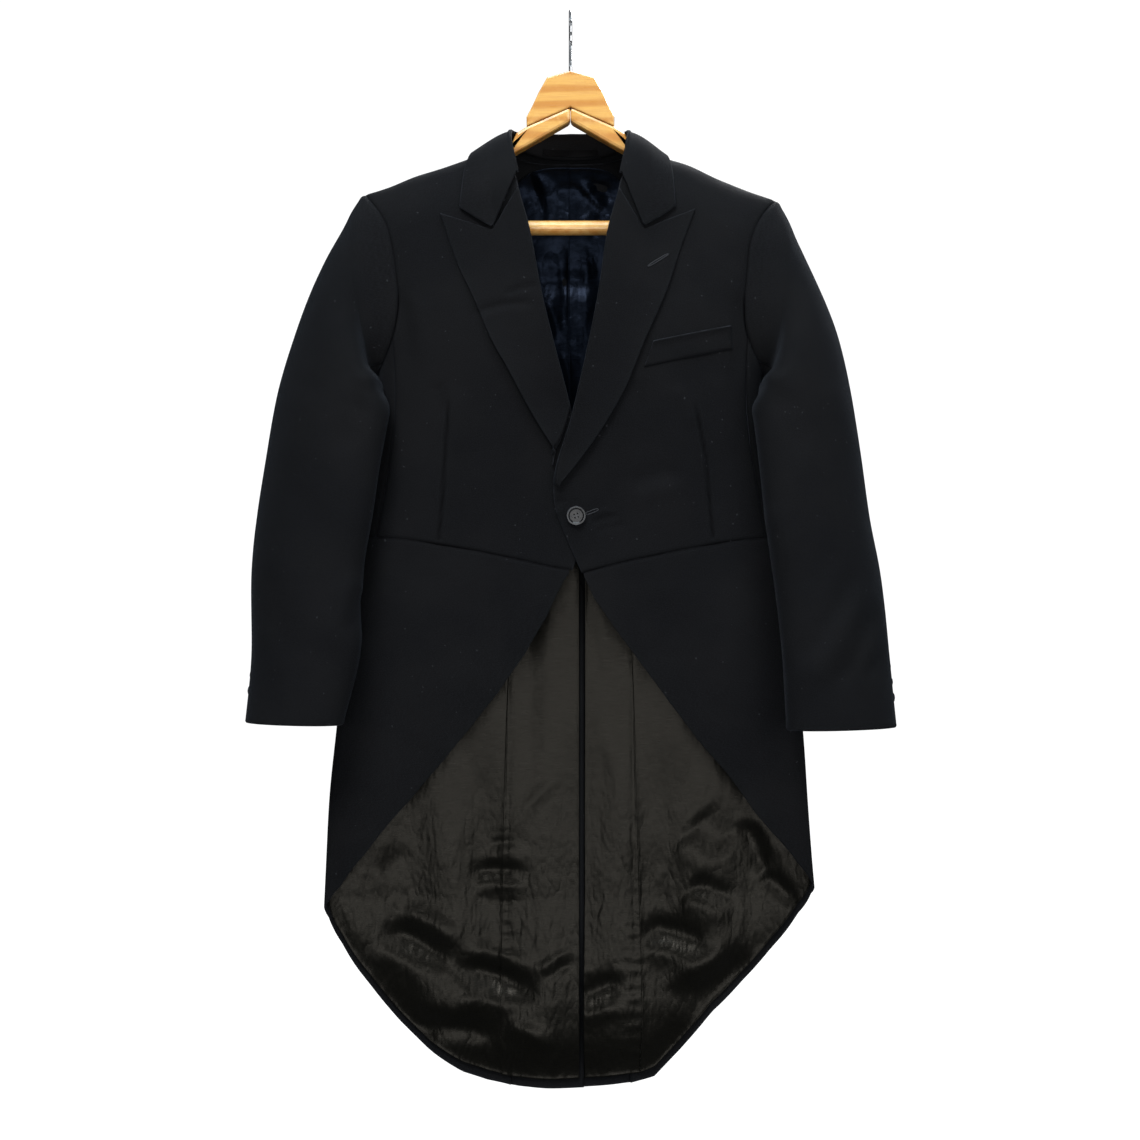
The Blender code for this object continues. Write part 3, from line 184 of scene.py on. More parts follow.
# The sleeves, a ring at each row: outer tip, inner tip and half the thickness
SLEEVE_RINGS = {
    # outer place, drop, depth, inner place, drop, depth, half thickness to the front and the back
    LEFT: (
        (-217, 190, 2, -204, 380, 0, 46, 42), (-225, 197, 2, -207, 383, -5, 50, 44),
        (-238, 226, 3, -206, 387, -18, 49, 42), (-256, 263, 4, -200, 392, -34, 47, 38),
        (-273, 304, 4, -194, 402, -50, 45, 35), (-289, 352, 2, -188, 416, -60, 42, 34),
        (-304, 406, -1, -190, 436, -65, 39, 35), (-316, 470, -7, -196, 474, -67, 37, 35),
        (-324, 526, -14, -203, 526, -68, 36, 35), (-328, 584, -23, -213, 584, -67, 35, 35),
        (-328, 668, -33, -216, 668, -70, 34, 34), (-334, 740, -43, -232, 742, -72, 33, 33),
    ),
    RIGHT: (
        (217, 196, 2, 204, 380, 0, 46, 42), (225, 206, 2, 207, 383, -5, 50, 44),
        (238, 240, 3, 206, 387, -18, 49, 42), (253, 278, 4, 200, 392, -34, 47, 38),
        (266, 314, 4, 194, 402, -50, 45, 35), (278, 352, 2, 188, 416, -60, 42, 34),
        (290, 408, -1, 191, 436, -65, 39, 35), (300, 466, -7, 196, 481, -67, 37, 35),
        (309, 531, -14, 201, 533, -68, 36, 35), (320, 590, -23, 208, 590, -67, 35, 35),
        (328, 668, -33, 216, 668, -70, 34, 34), (335, 745, -43, 220, 747, -72, 33, 33),
    ),
}
SLEEVE_BLEND = 1.6
SLEEVE_TWIST = 40.0
ARMHOLE_GAP = -0.6
# Soft folds on the front of the forearms: start place, drop, end place, drop, half width, rise
SLEEVE_FOLDS = {
    LEFT: ((-222, 596, -244, 664, 15, 2.6), (-300, 560, -262, 650, 20, 1.8)),
    RIGHT: ((304, 600, 236, 702, 15, 4.4), (330, 622, 292, 680, 13, 3.6)),
}
# The folds show on the sleeve's front alone: turns at which they rise and sink
FOLD_TURNS = (5.0, 40.0, 150.0, 185.0)
# The hind-arm seam and the forearm seam, as turns round the ring at the armhole and at the cuff
HIND_SEAM = (-62.0, -20.0)
FOREARM_SEAM = (150.0, 190.0)

# The collar from centre back to its front end: fold and fall edge over the shoulder
COLLAR = {
    # fold place, turn, lift, fall place, turn, lift
    LEFT: (
        (0, 28, 28, 0, 58, 4.4), (-32, 26, 25, -46, 54, 4.4), (-57, 15, 17, -82, 34, 4.6),
        (-65, -4, 15, -99, 2, 5.4), (-64, -36, 10, -108, -38, 5.0), (-56, -72, 8, -114, -88, 4.4),
    ),
    RIGHT: (
        (0, 28, 28, 0, 58, 4.4), (32, 26, 25, 46, 54, 4.4), (55, 15, 17, 80, 34, 4.6),
        (63, -4, 15, 98, 2, 5.4), (61, -36, 10, 105, -38, 5.0), (53, -72, 8, 108, -86, 4.4),
    ),
}
COLLAR_BULGE = 1.6
COLLAR_NOTCH_SHARE = 0.5
COLLAR_END_GAP = 2.0
# The stand starts this share of the way below the fold and this far inside it
STAND_START = 0.16
STAND_INSET = 3.6
STAND_FOOT_INSET = 1.2
STAND_AIM = -12.0
STAND_BOTTOM = (
    # place as a share of the fold's, turn, lift at each station
    (1.00, 38, 4.0), (1.02, 36, 4.0), (1.06, 22, 4.0), (1.07, 0, 4.0), (1.04, -32, 3.2), (1.02, -62, 3.0),
)

# Breast welt on the right forepart
WELT_CORNERS = ((87, 343), (168, 327), (170, 352), (77, 371))
WELT = 1.8


class Smooth:
    """A smooth curve through a table's rows, read by the value of its first column."""

    def __init__(self, rows):
        table = np.asarray(rows, float)
        self.keys = table[:, 0].tolist()
        self.values = table[:, 1:].tolist()
        self.slopes = np.gradient(table[:, 1:], table[:, 0], axis=0).tolist()

    def __call__(self, at):
        keys = self.keys
        if at <= keys[0]:
            return [a + m * (at - keys[0]) for a, m in zip(self.values[0], self.slopes[0])]
        if at >= keys[-1]:
            return [a + m * (at - keys[-1]) for a, m in zip(self.values[-1], self.slopes[-1])]
        i = bisect.bisect_right(keys, at) - 1
        span = keys[i + 1] - keys[i]
        s = (at - keys[i]) / span
        start, end = (1 + 2 * s) * (1 - s) ** 2, s * s * (3 - 2 * s)
        rise, fall = span * s * (1 - s) ** 2, span * s * s * (s - 1)
        rows = zip(self.values[i], self.values[i + 1], self.slopes[i], self.slopes[i + 1])
        return [a * start + b * end + m * rise + n * fall for a, b, m, n in rows]


RING_CURVE = Smooth(RINGS)
RIDGE_CURVE = Smooth(RIDGE)
WAIST_CURVE = Smooth(WAIST)
ARMHOLE_CURVE = {side: Smooth(ARMHOLE[side]) for side in (LEFT, RIGHT)}


def numbered(rows):
    """A smooth curve read by the row's number."""
    return Smooth([(number, *row) for number, row in enumerate(rows)])
SLEEVE_CURVE = {side: numbered(SLEEVE_RINGS[side]) for side in (LEFT, RIGHT)}
COLLAR_CURVE = {side: numbered(COLLAR[side]) for side in (LEFT, RIGHT)}
STAND_CURVE = numbered(STAND_BOTTOM)


def blend(a, b, share):
    return a + (b - a) * share


def ease(value, start, end):
    """0 before start, 1 after end, and smooth between them."""
    s = min(max((value - start) / (end - start), 0.0), 1.0)
    return s * s * (3 - 2 * s)


def unit(vector):
    return vector / np.linalg.norm(vector)


def halve(low, high, is_short):
    """The value between low and high up to which is_short holds."""
    for _ in range(40):
        middle = (low + high) / 2
        low, high = (middle, high) if is_short(middle) else (low, middle)
    return low


def side_of(x):
    return LEFT if x < 0 else RIGHT


def ring_at(drop, side):
    """Half width, front depth and back depth of the coat at a drop."""
    left, right, front, back = RING_CURVE(drop)
    return (left if side == LEFT else right), front, back


def ridge_drop(x):
    left, right = RIDGE_CURVE(abs(x))
    share = ease(x, -40.0, 40.0)
    return blend(left, right, share)


def waist_drop(x, side):
    left, right = WAIST_CURVE(max(x * side, 0.0))
    return left if side == LEFT else right


def shoulder_share(x, drop):
    """How much of its full depth the coat has at this distance below the shoulder ridge."""
    below = min(max((drop - ridge_drop(x)) / RIDGE_ROUND, 0.0), 1.0)
    return math.sqrt(1 - (1 - below) ** 2)


def flutes(x, drop):
    """The soft upright waves of the tails, deeper towards the hem."""
    amount = FLUTE_DEPTH * ease(drop, 620.0, 1000.0)
    return amount * math.cos(2 * math.pi * (x - 8.0) / FLUTE_WIDTH)


def shaped(x, depth, drop, face):
    """Depth after the shoulder's rounding and, on the back, the tails' flutes."""
    if face == BACK:
        depth += flutes(x, drop) * ease(depth, 2.0, 14.0)
    seam = face * SEAM / 2
    return RIDGE_DEPTH + seam + (depth - RIDGE_DEPTH - seam) * shoulder_share(x, drop)


def coat_depth(x, drop, face):
    half_width, front, back = ring_at(drop, side_of(x))
    share = min(abs(x) / half_width, 1.0) ** ROUNDNESS
    full = front if face == FRONT else back
    return shaped(x, face * full * (1 - share) ** (1 / ROUNDNESS), drop, face)


def coat_point(x, drop, face):
    return np.array((x, coat_depth(x, drop, face), -drop))


def round_point(side, turn, drop):
    """A point by its turn round the ring: -90 is front centre, 0 the side fold, 90 back centre."""
    half_width, front, back = ring_at(drop, side)
    angle = math.radians(turn)
    x = side * half_width * math.cos(angle) ** (2 / ROUNDNESS)
    reach = abs(math.sin(angle)) ** (2 / ROUNDNESS)
    if turn < 0:
        return np.array((x, shaped(x, -front * reach, drop, FRONT), -drop))
    return np.array((x, shaped(x, back * reach, drop, BACK), -drop))


def turn_of(side, x, drop, face):
    half_width = ring_at(drop, side)[0]
    share = min(abs(x) / half_width, 1.0) ** (ROUNDNESS / 2)
    return face * math.degrees(math.acos(share))


def over_shoulder(x, turn, lift):
    """A point by its turn over the shoulder ridge, -90 to the front and 90 to the back, lifted."""
    angle = math.radians(min(max(turn, -90.0), 90.0))
    past = math.radians(max(abs(turn) - 90.0, 0.0))
    drop = ridge_drop(x) + RIDGE_ROUND * (1 - math.cos(angle) + past)
    point = coat_point(x, drop, FRONT if turn < 0 else BACK)
    return point + lift * np.array((0.0, math.sin(angle), math.cos(angle)))


def shoulder_turn(x, drop):
    """The turn over the shoulder of a place on the front."""
    below = (drop - ridge_drop(x)) / RIDGE_ROUND
    if below > 1:
        return -90.0 - math.degrees(below - 1)
    return -math.degrees(math.acos(1 - below))


def sighted(x, drop, face):
    """Where a place measured on the middle plane lies on the coat's own face."""
    scale = 1.0
    for _ in range(4):
        depth = coat_depth(x * scale, SIGHT_DROP + (drop - SIGHT_DROP) * scale, face)
        scale = 1 + depth / SIGHT_DISTANCE
    return x * scale, SIGHT_DROP + (drop - SIGHT_DROP) * scale


def sighted_by_drop(table, face):
    """A table of (drop, place) carried on to the coat's face."""
    moved = [sighted(x, drop, face) for drop, x in table]
    return tuple((drop, x) for x, drop in moved)


def sighted_by_place(table, face, side=RIGHT):
    """A table of (distance, drop) carried on to the coat's face."""
    moved = [sighted(side * x, drop, face) for x, drop in table]
    return tuple((side * x, drop) for x, drop in moved)


def roll_place(side, drop):
    return ROLL_ON_COAT[side](drop)[0]


def armhole_place(side, drop):
    return side * ARMHOLE_CURVE[side](drop)[0]


ROLL_ON_COAT = {side: Smooth(sighted_by_drop(ROLL[side], FRONT)) for side in (LEFT, RIGHT)}
LAPEL_ROWS = {side: sighted_by_drop(LAPEL_EDGE[side], FRONT) for side in (LEFT, RIGHT)}
LAPEL_ON_COAT = {side: Smooth(LAPEL_ROWS[side]) for side in (LEFT, RIGHT)}
CUTAWAY_ON_COAT = {
    side: Smooth(sighted_by_place(CUTAWAY[side], FRONT, side)) for side in (LEFT, RIGHT)
}


def pull_in(grid, amounts):
    """Moves the grid's four borders inwards by the gaps that the seams need."""
    first_u, last_u, first_v, last_v = amounts
    moved = grid.copy()
    for index, inner, amount in ((0, 1, first_u), (-1, -2, last_u)):
        step = grid[:, inner] - grid[:, index]
        length = np.linalg.norm(step, axis=1, keepdims=True)
        moved[:, index] += step / np.maximum(length, 1e-6) * amount
    for index, inner, amount in ((0, 1, first_v), (-1, -2, last_v)):
        step = grid[inner] - grid[index]
        length = np.linalg.norm(step, axis=1, keepdims=True)
        moved[index] += step / np.maximum(length, 1e-6) * amount
    return moved


def spread(count):
    return [i / count for i in range(count + 1)]


def side_seam_turn(side, share):
    """The turn of the seam between forepart and side body, from armhole to waist."""
    top = turn_of(side, armhole_place(side, SIDE_SEAM_TOP), SIDE_SEAM_TOP, FRONT)
    bottom = turn_of(side, SIDE_SEAM_WAIST, waist_drop(side * SIDE_SEAM_WAIST, side), FRONT)
    return blend(top, bottom, share)


def back_seam_turn(side, share):
    """The turn of the curved seam between side body and back, from armhole to waist."""
    top = turn_of(side, armhole_place(side, BACK_SEAM_TOP), BACK_SEAM_TOP, BACK)
    bottom = turn_of(side, BACK_SEAM_WAIST, WAIST_BACK, BACK)
    return blend(top, bottom, share) + BACK_SEAM_BEND * math.sin(math.pi * share)


def tuck_under(x, drop):
    """How far the left forepart lies inside the right one where they overlap."""
    return (CLOTH + TUCK_GAP) * ease(x, *TUCK_PLACES) * ease(drop, *TUCK_DROPS)


def forepart_outer(side, drop):
    """Armhole, then side seam."""
    if drop < SIDE_SEAM_TOP:
        return armhole_place(side, drop)
    bottom = waist_drop(side * SIDE_SEAM_WAIST, side)
    share = (drop - SIDE_SEAM_TOP) / (bottom - SIDE_SEAM_TOP)
    return round_point(side, side_seam_turn(side, share), drop)[0]


def forepart_place(side, u, v):
    """Place and drop on a forepart, from its inner edge to its outer edge and shoulder to waist."""
    tip = ARMHOLE[side][0]
    neck = side * NECK_POINT
    top_x = blend(neck, side * tip[1], u)
    bottom_inner = roll_place(side, waist_drop(0.0, side))
    bottom_x = blend(bottom_inner, side * SIDE_SEAM_WAIST, u)
    drop = blend(ridge_drop(top_x), waist_drop(bottom_x, side), v)
    inner_drop = blend(ridge_drop(neck), waist_drop(bottom_inner, side), v)
    outer_drop = blend(ridge_drop(side * tip[1]), waist_drop(side * SIDE_SEAM_WAIST, side), v)
    near_neck = 1 - ease(inner_drop, ridge_drop(neck), ridge_drop(neck) + NECK_RUN)
    inner = blend(roll_place(side, inner_drop), neck, near_neck)
    return blend(inner, forepart_outer(side, outer_drop), u), drop


def forepart_surface(side):
    def surface(u, v):
        x, drop = forepart_place(side, u, v)
        point = coat_point(x, drop, FRONT)
        if side == LEFT:
            point[1] += tuck_under(x, drop)
        return point

    return surface


def side_body_surface(side):
    """From the side seam round the fold to the curved back seam, and from armhole to waist."""

    def armhole_bottom(u):
        if u < 0.5:
            drop = blend(SIDE_SEAM_TOP, UNDERARM_DROP, math.sin(math.pi * u))
            return turn_of(side, armhole_place(side, drop), drop, FRONT), drop
        drop = blend(UNDERARM_DROP, BACK_SEAM_TOP, 1 - math.sin(math.pi * min(u, 1.0)))
        return turn_of(side, armhole_place(side, drop), drop, BACK), drop

    def surface(u, v):
        top_turn, top_drop = armhole_bottom(u)
        bottom_turn = blend(side_seam_turn(side, 1.0), back_seam_turn(side, 1.0), u)
        bend = BACK_SEAM_BEND * math.sin(math.pi * v) * max(u, 0.0) ** 2
        turn = blend(top_turn, bottom_turn, v) + bend
        foot = round_point(side, bottom_turn, WAIST_BACK)
        bottom_drop = waist_drop(foot[0], side) if bottom_turn < 0 else WAIST_BACK
        return round_point(side, turn, blend(top_drop, bottom_drop, v))

    return surface


def vent_shift(side, drop):
    """How far a tail's inner edge reaches past the centre below the waist."""
    lap = VENT_LAP - CENTRE_BACK
    return -side * lap * ease(drop, VENT_TOP, VENT_TOP + VENT_STEP)


def back_outer(side, drop):
    """Back armhole, then the curved side-back seam, then the pleat of the tail."""
    if drop < BACK_SEAM_TOP:
        return armhole_place(side, drop)
    if drop < WAIST_BACK:
        share = (drop - BACK_SEAM_TOP) / (WAIST_BACK - BACK_SEAM_TOP)
        return round_point(side, back_seam_turn(side, share), drop)[0]
    return round_point(side, pleat_turn(side), drop)[0]


def pleat_turn(side):
    return turn_of(side, BACK_SEAM_WAIST, WAIST_BACK, BACK)


def hem_drop(x):
    return HEM_ON_COAT(x)[0]


def vent_tuck(side, x, drop):
    """The left tail lies inside the right one along the vent."""
    if side == RIGHT:
        return 0.0
    return (CLOTH + VENT_TUCK_GAP) * ease(x, *VENT_TUCK_PLACES) * ease(drop, *VENT_TUCK_DROPS)


def back_surface(side):
    tip = ARMHOLE[side][0]

    def surface(u, v):
        top_x = blend(CENTRE_BACK, side * tip[1], u)
        neck = 1 - min(abs(top_x) / NECK_POINT, 1.0) ** NECK_SQUARENESS
        top_drop = blend(ridge_drop(top_x), BACK_NECK, neck)
        foot_inner = CENTRE_BACK + vent_shift(side, CENTRE_FOOT)
        foot_outer = back_outer(side, PLEAT_FOOT)
        drop = blend(top_drop, hem_drop(blend(foot_inner, foot_outer, u)), v)
        inner_drop = blend(BACK_NECK, hem_drop(foot_inner), v)
        outer_drop = blend(ridge_drop(side * tip[1]), hem_drop(foot_outer), v)
        inner = CENTRE_BACK + vent_shift(side, inner_drop)
        x = blend(inner, back_outer(side, outer_drop), u)
        point = coat_point(x, drop, BACK)
        point[1] -= vent_tuck(side, x, drop)
        return point

    return surface


HEM_ON_COAT = Smooth(sighted_by_place(HEM, BACK))

def skirt_end(side, turn):
    """The drop at which an upright line at this turn meets the cutaway edge or the hem."""

    def is_short(drop):
        x = round_point(side, turn, drop)[0]
        if turn < 0:
            return drop < CUTAWAY_ON_COAT[side](side * x)[0]
        return drop < hem_drop(x)

    return halve(560.0, 1135.0, is_short)


def skirt_turns(side):
    """Upright lines from the front edge round the fold to the pleat."""
    places = (SKIRT_START[side], 26, 48, 74, 102, 130, 158, 184)
    front = [turn_of(side, x, SKIRT_GAUGE, FRONT) for x in places]
    fold = [-38, -24, -12, 0, 12, 26, 40]
    back = [turn_of(side, x, SKIRT_GAUGE, BACK) for x in (165, 135, 105, 80)]
    return front + fold + back + [pleat_turn(side)]


def skirt_top(side, turn):
    point = round_point(side, turn, WAIST_BACK)
    return waist_drop(point[0], side) if turn < 0 else WAIST_BACK


def along_list(values, share):
    """A value between the items of a list, at a share of its whole length."""
    place = min(max(share, 0.0), 1.0) * (len(values) - 1)
    index = min(int(place), len(values) - 2)
    return blend(values[index], values[index + 1], share * (len(values) - 1) - index)


def skirt_surface(side):
    turns = skirt_turns(side)
    tops = [skirt_top(side, turn) for turn in turns]
    ends = [skirt_end(side, turn) for turn in turns]

    def surface(u, v):
        turn = along_list(turns, u)
        drop = blend(along_list(tops, u), along_list(ends, u), v)
        return round_point(side, turn, drop)

    return surface, spread(len(turns) - 1)


def lining_seam_turn(side):
    return turn_of(side, LINING_SEAM, SKIRT_GAUGE, BACK)


def back_lining_surface(side):
    """From the centre seam and the vent's edge out to the seam with the skirt lining."""

    def surface(u, v):
        top_x = blend(CENTRE_BACK, side * LINING_TOP, u)
        top_drop = BACK_NECK + 2.0 + LINING_DIP * (abs(top_x) / LINING_TOP) ** NECK_SQUARENESS
        foot_x = blend(CENTRE_BACK + VENT_LAP, side * LINING_SEAM, u)
        drop = blend(top_drop, hem_drop(foot_x) - HEM_BORDER, v)
        step = ease(drop, *VENT_LINING_DROPS)
        border = -VENT_BORDER if side == LEFT else VENT_REACH
        inner = CENTRE_BACK + (VENT_LAP - CENTRE_BACK + border) * step
        seam = round_point(side, lining_seam_turn(side), drop)[0]
        outer = blend(side * LINING_TOP, seam, ease(drop, *LINING_SPREAD))
        x = blend(inner, outer, u)
        point = coat_point(x, drop, BACK)
        point[1] -= vent_tuck(side, x, drop)
        return point

    return surface


def skirt_lining_surface(side):
    """The skirt's own upright lines, from the seam with the back lining to near the side fold."""
    turns = [turn_of(side, x, SKIRT_GAUGE, BACK) for x in (LINING_SEAM + 0.6, 80, 105, 135, 165)]
    turns += [40, 26, 12, 9]
    start = WAIST_BACK + SKIRT_LINING_START
    ends = [skirt_end(side, turn) - HEM_BORDER for turn in turns]

    def surface(u, v):
        turn = along_list(turns, u)
        return round_point(side, turn, blend(start, along_list(ends, u), v))

    return surface, spread(len(turns) - 1)


def armhole_point(side, turn):
    """The armhole from the shoulder tip (0) by the front (90) and underarm (180) to the back."""
    tip_drop = ARMHOLE[side][0][0]
    angle = math.radians(turn)
    drop = blend(tip_drop, UNDERARM_DROP, (1 - math.cos(angle)) / 2)
    face = FRONT if math.sin(angle) > 0 else BACK
    point = coat_point(armhole_place(side, drop), drop, face)
    point[0] += side * ARMHOLE_GAP
    return point


def sleeve_ring_point(side, row, turn):
    """A point of the sleeve's ring: 0 is its outer tip, 90 its front, 180 its inner tip."""
    ring = SLEEVE_CURVE[side](row)
    outer = np.array((ring[0], ring[2], -ring[1]))
    inner = np.array((ring[3], ring[5], -ring[4]))
    half = (outer - inner) / 2
    front = np.array((0.0, -1.0, 0.0))
    front = unit(front - unit(half) * np.dot(front, unit(half)))
    angle = math.radians(turn)
    thickness = ring[6] if math.sin(angle) > 0 else ring[7]
    return (outer + inner) / 2 + half * math.cos(angle) + front * thickness * math.sin(angle)


def fold_rise(side, point):
    """How far the forearm's folds stand out at a point, by its distance from each fold's line."""
    rise = 0.0
    for x0, drop0, x1, drop1, width, height in SLEEVE_FOLDS[side]:
        run_x, run_drop = x1 - x0, drop1 - drop0
        length = math.hypot(run_x, run_drop)
        past_x, past_drop = point[0] - x0, -point[2] - drop0
        along = (past_x * run_x + past_drop * run_drop) / length ** 2
        aside = (past_x * run_drop - past_drop * run_x) / length
        fade = ease(along, -0.2, 0.2) * (1 - ease(along, 0.7, 1.2))
        rise += height * fade * math.exp(-((aside / width) ** 2))
    return rise


def sleeve_surface(side, start_seam, end_seam, wrap):
    """From one sleeve seam to the other, and from the armhole to the cuff."""
    last = len(SLEEVE_RINGS[side]) - 1

    def surface(u, v):
        row = v * last
        first = blend(start_seam[0], start_seam[1], min(max(v, 0.0), 1.0))
        second = blend(end_seam[0], end_seam[1], min(max(v, 0.0), 1.0)) + wrap
        turn = blend(first, second, u)
        twist = SLEEVE_TWIST * ease(row, 1.0, 6.0) * (1 - math.cos(math.radians(turn))) / 2
        free = sleeve_ring_point(side, row, turn + twist)
        shown = ease(turn, *FOLD_TURNS[:2]) * (1 - ease(turn, *FOLD_TURNS[2:]))
        free[1] -= fold_rise(side, free) * shown
        share = ease(row, 0.0, SLEEVE_BLEND)
        return blend(armhole_point(side, turn), free, share)

    return surface


def lapel_surface(side):
    """From the roll line to the outer edge, and from the gorge and peak to the lapel's foot."""
    edge_rows = LAPEL_ROWS[side]
    gorge = sighted(*GORGE_INNER[side], FRONT)
    notch = sighted(*NOTCH[side], FRONT)
    foot_drop = edge_rows[-1][0]
    peak_drop, peak_x = edge_rows[0]

    def surface(u, v):
        roll_drop = blend(gorge[1], foot_drop, v)
        edge_drop = blend(peak_drop, foot_drop, v)
        roll_x = roll_place(side, roll_drop)
        if side == LEFT:
            roll_x = min(roll_x, roll_place(RIGHT, roll_drop) - LAPEL_CLEARANCE)
        edge_x = LAPEL_ON_COAT[side](edge_drop)[0]
        share = min(max(u, 0.0), 1.0)
        x = blend(roll_x, edge_x, u)
        drop = blend(roll_drop, edge_drop, u)
        straight = np.array((blend(gorge[0], peak_x, NOTCH_SHARE),
                             blend(gorge[1], peak_drop, NOTCH_SHARE)))
        bend = np.array(notch) - straight
        if share < NOTCH_SHARE:
            tent = share / NOTCH_SHARE
        else:
            tent = (1 - share) / (1 - NOTCH_SHARE)
        fade = max(1 - v, 0.0) ** 6
        x += bend[0] * tent * fade
        drop += bend[1] * tent * fade
        point = coat_point(x, drop, FRONT)
        if side == LEFT:
            point[1] += tuck_under(x, drop)
        point[1] -= ROLL_LIFT * max(1 - u, 0.0) ** 2
        return point

    return surface


def collar_point(side, station, share):
    """A point of the collar between its fold (0) and its fall edge (1), over the shoulder.

    Towards its front end the collar is drawn down to the notch, where it meets the lapel.
    """
    last = len(COLLAR[side]) - 1
    fold_x, fold_turn, fold_lift, edge_x, edge_turn, edge_lift = COLLAR_CURVE[side](station)
    lift = blend(fold_lift, edge_lift, share) + COLLAR_BULGE * 4 * share * (1 - share)
    notch_x, notch_drop = sighted(*NOTCH[side], FRONT)
    end = COLLAR[side][last]
    bend_x = notch_x - blend(end[0], end[3], COLLAR_NOTCH_SHARE)
    notch_turn = shoulder_turn(notch_x, notch_drop) + COLLAR_END_GAP
    bend_turn = notch_turn - blend(end[1], end[4], COLLAR_NOTCH_SHARE)
    near_end = ease(station, last - 1.3, last)
    if share < COLLAR_NOTCH_SHARE:
        tent = max(share, 0.0) / COLLAR_NOTCH_SHARE
    else:
        tent = max(1 - share, 0.0) / (1 - COLLAR_NOTCH_SHARE)
    x = blend(fold_x, edge_x, share) + bend_x * tent * near_end
    turn = blend(fold_turn, edge_turn, share) + bend_turn * tent * near_end
    return over_shoulder(x, turn, lift)


def collar_station(share):
    """The side and the station from 0 at centre back to 5, from a share of the whole collar."""
    side = LEFT if share < 0.5 else RIGHT
    return side, abs(share - 0.5) * 2 * (len(COLLAR[LEFT]) - 1)


def collar_surface(u, v):
    """u runs from the left front end round the back of the neck, v from the fold to the edge."""
    side, station = collar_station(u)
    return collar_point(side, station, v)


def stand_surface(u, v):
    """The neck side of the collar stand, from just under the fold down to the neck seam."""
    side, station = collar_station(u)
    fold = collar_point(side, station, 0.0)
    share, turn, lift = STAND_CURVE(station)
    bottom = over_shoulder(COLLAR_CURVE[side](station)[0] * share, turn, lift)
    inward = unit(np.array((-fold[0], STAND_AIM - fold[1], 0.0)))
    inset = blend(STAND_INSET, STAND_FOOT_INSET, v)
    return blend(fold, bottom, blend(STAND_START, 1.0, v)) + inward * inset




# How finely a piece is laid out, closer together near its borders
PITCH = 4.6
NEAR_BORDER = (0.0, 0.9, 2.0, 3.6, 6.0)
# A sewn border rolls down into its seam, and the pieces pass a little over each other there
SEAM_ROLL = 0.75
SEAM_WIDTH = 2.2
OVERLAP = 0.35
NO_GAPS = (0.0,) * 4
# Half widths of the painted shade along a sewn line and of the painted highlight along a free edge, and the
# roll that has no such highlight
SEAM_SHADE_WIDTH = 1.5
EDGE_HIGHLIGHT_WIDTH = 1.3
SOFT_ROLL = 2.0
DART_FADE = 18.0
# Creases bow a little, reach past their ends and fade in and out there
CREASE_BOW = 0.06
CREASE_PAST = 0.1
CREASE_FADE_IN = 0.3
CREASE_FADE_OUT = 0.45
WAVES = 9
WAVE_LENGTHS = (55, 150)
WAVE_TILT = 0.5
WAVE_SQUASH = 0.6
FLAT_START = 500.0
FAR = 1e3


def steps(length, pitch=PITCH):
    """Shares along a length, closer together near its two ends."""
    near = NEAR_BORDER[-1]
    count = max(int((length - 2 * near) / pitch), 2)
    middle = np.linspace(near, length - near, count + 1)[1:-1]
    places = [*NEAR_BORDER, *middle.tolist(), *(length - a for a in reversed(NEAR_BORDER))]
    return [p / length for p in places]


def grid_of(surface, across, down):
    """Rows of points on a surface."""
    return np.array([[surface(u, v) for u in across] for v in down])


def grid_normals(grid):
    along_u = np.gradient(grid, axis=1)
    along_v = np.gradient(grid, axis=0)
    cross = np.cross(along_u, along_v)
    return cross / np.maximum(np.linalg.norm(cross, axis=2, keepdims=True), 1e-9)


def lengths_along(grid, axis):
    """Running length along rows or columns, in the flat."""
    step = np.linalg.norm(np.diff(grid, axis=axis), axis=2)
    zero = np.zeros_like(np.take(step, [0], axis=axis))
    return np.cumsum(np.concatenate([zero, step], axis=axis), axis=axis)


def drops(grid):
    return -grid[:, :, 2]


def bell(distance, width):
    """1 on a line, fading to 0 on both sides of it."""
    return np.exp(-((distance / width) ** 2))


def below(grid, start, run, least=0):
    """The least value above a drop, rising to 1 over the run below it."""
    return np.clip((drops(grid) - start) / run, least, 1)


def border_distance(grid, sides):
    """Distance in the cloth from the nearest of the sewn borders: first u, last u, first v, last v."""
    along_u, along_v = lengths_along(grid, 1), lengths_along(grid, 0)
    reach = [along_u, along_u[:, -1:] - along_u, along_v, along_v[-1:] - along_v]
    nearest = np.full(along_u.shape, FAR)
    for distance, sewn in zip(reach, sides):
        if sewn:
            nearest = np.minimum(nearest, distance)
    return nearest


def crease_height(grid, creases):
    """Soft ridges and troughs seen from the front: each runs from one place to another.

    A row is start place, start drop, end place, end drop, half width, height.
    """
    x, drop = grid[:, :, 0], drops(grid)
    height = np.zeros_like(x)
    for x0, drop0, x1, drop1, width, rise in creases:
        run = np.array((x1 - x0, drop1 - drop0))
        length = np.hypot(*run)
        along = ((x - x0) * run[0] + (drop - drop0) * run[1]) / length ** 2
        bow = CREASE_BOW * length * np.sin(np.pi * np.clip(along, 0, 1))
        aside = ((x - x0) * run[1] - (drop - drop0) * run[0]) / length - bow
        fade = (np.clip(along + CREASE_PAST, 0, CREASE_FADE_IN) / CREASE_FADE_IN
                * np.clip(1 + CREASE_PAST - along, 0, CREASE_FADE_OUT) / CREASE_FADE_OUT)
        fade = fade * fade * (3 - 2 * fade)
        height += rise * fade * bell(aside, width)
    return height


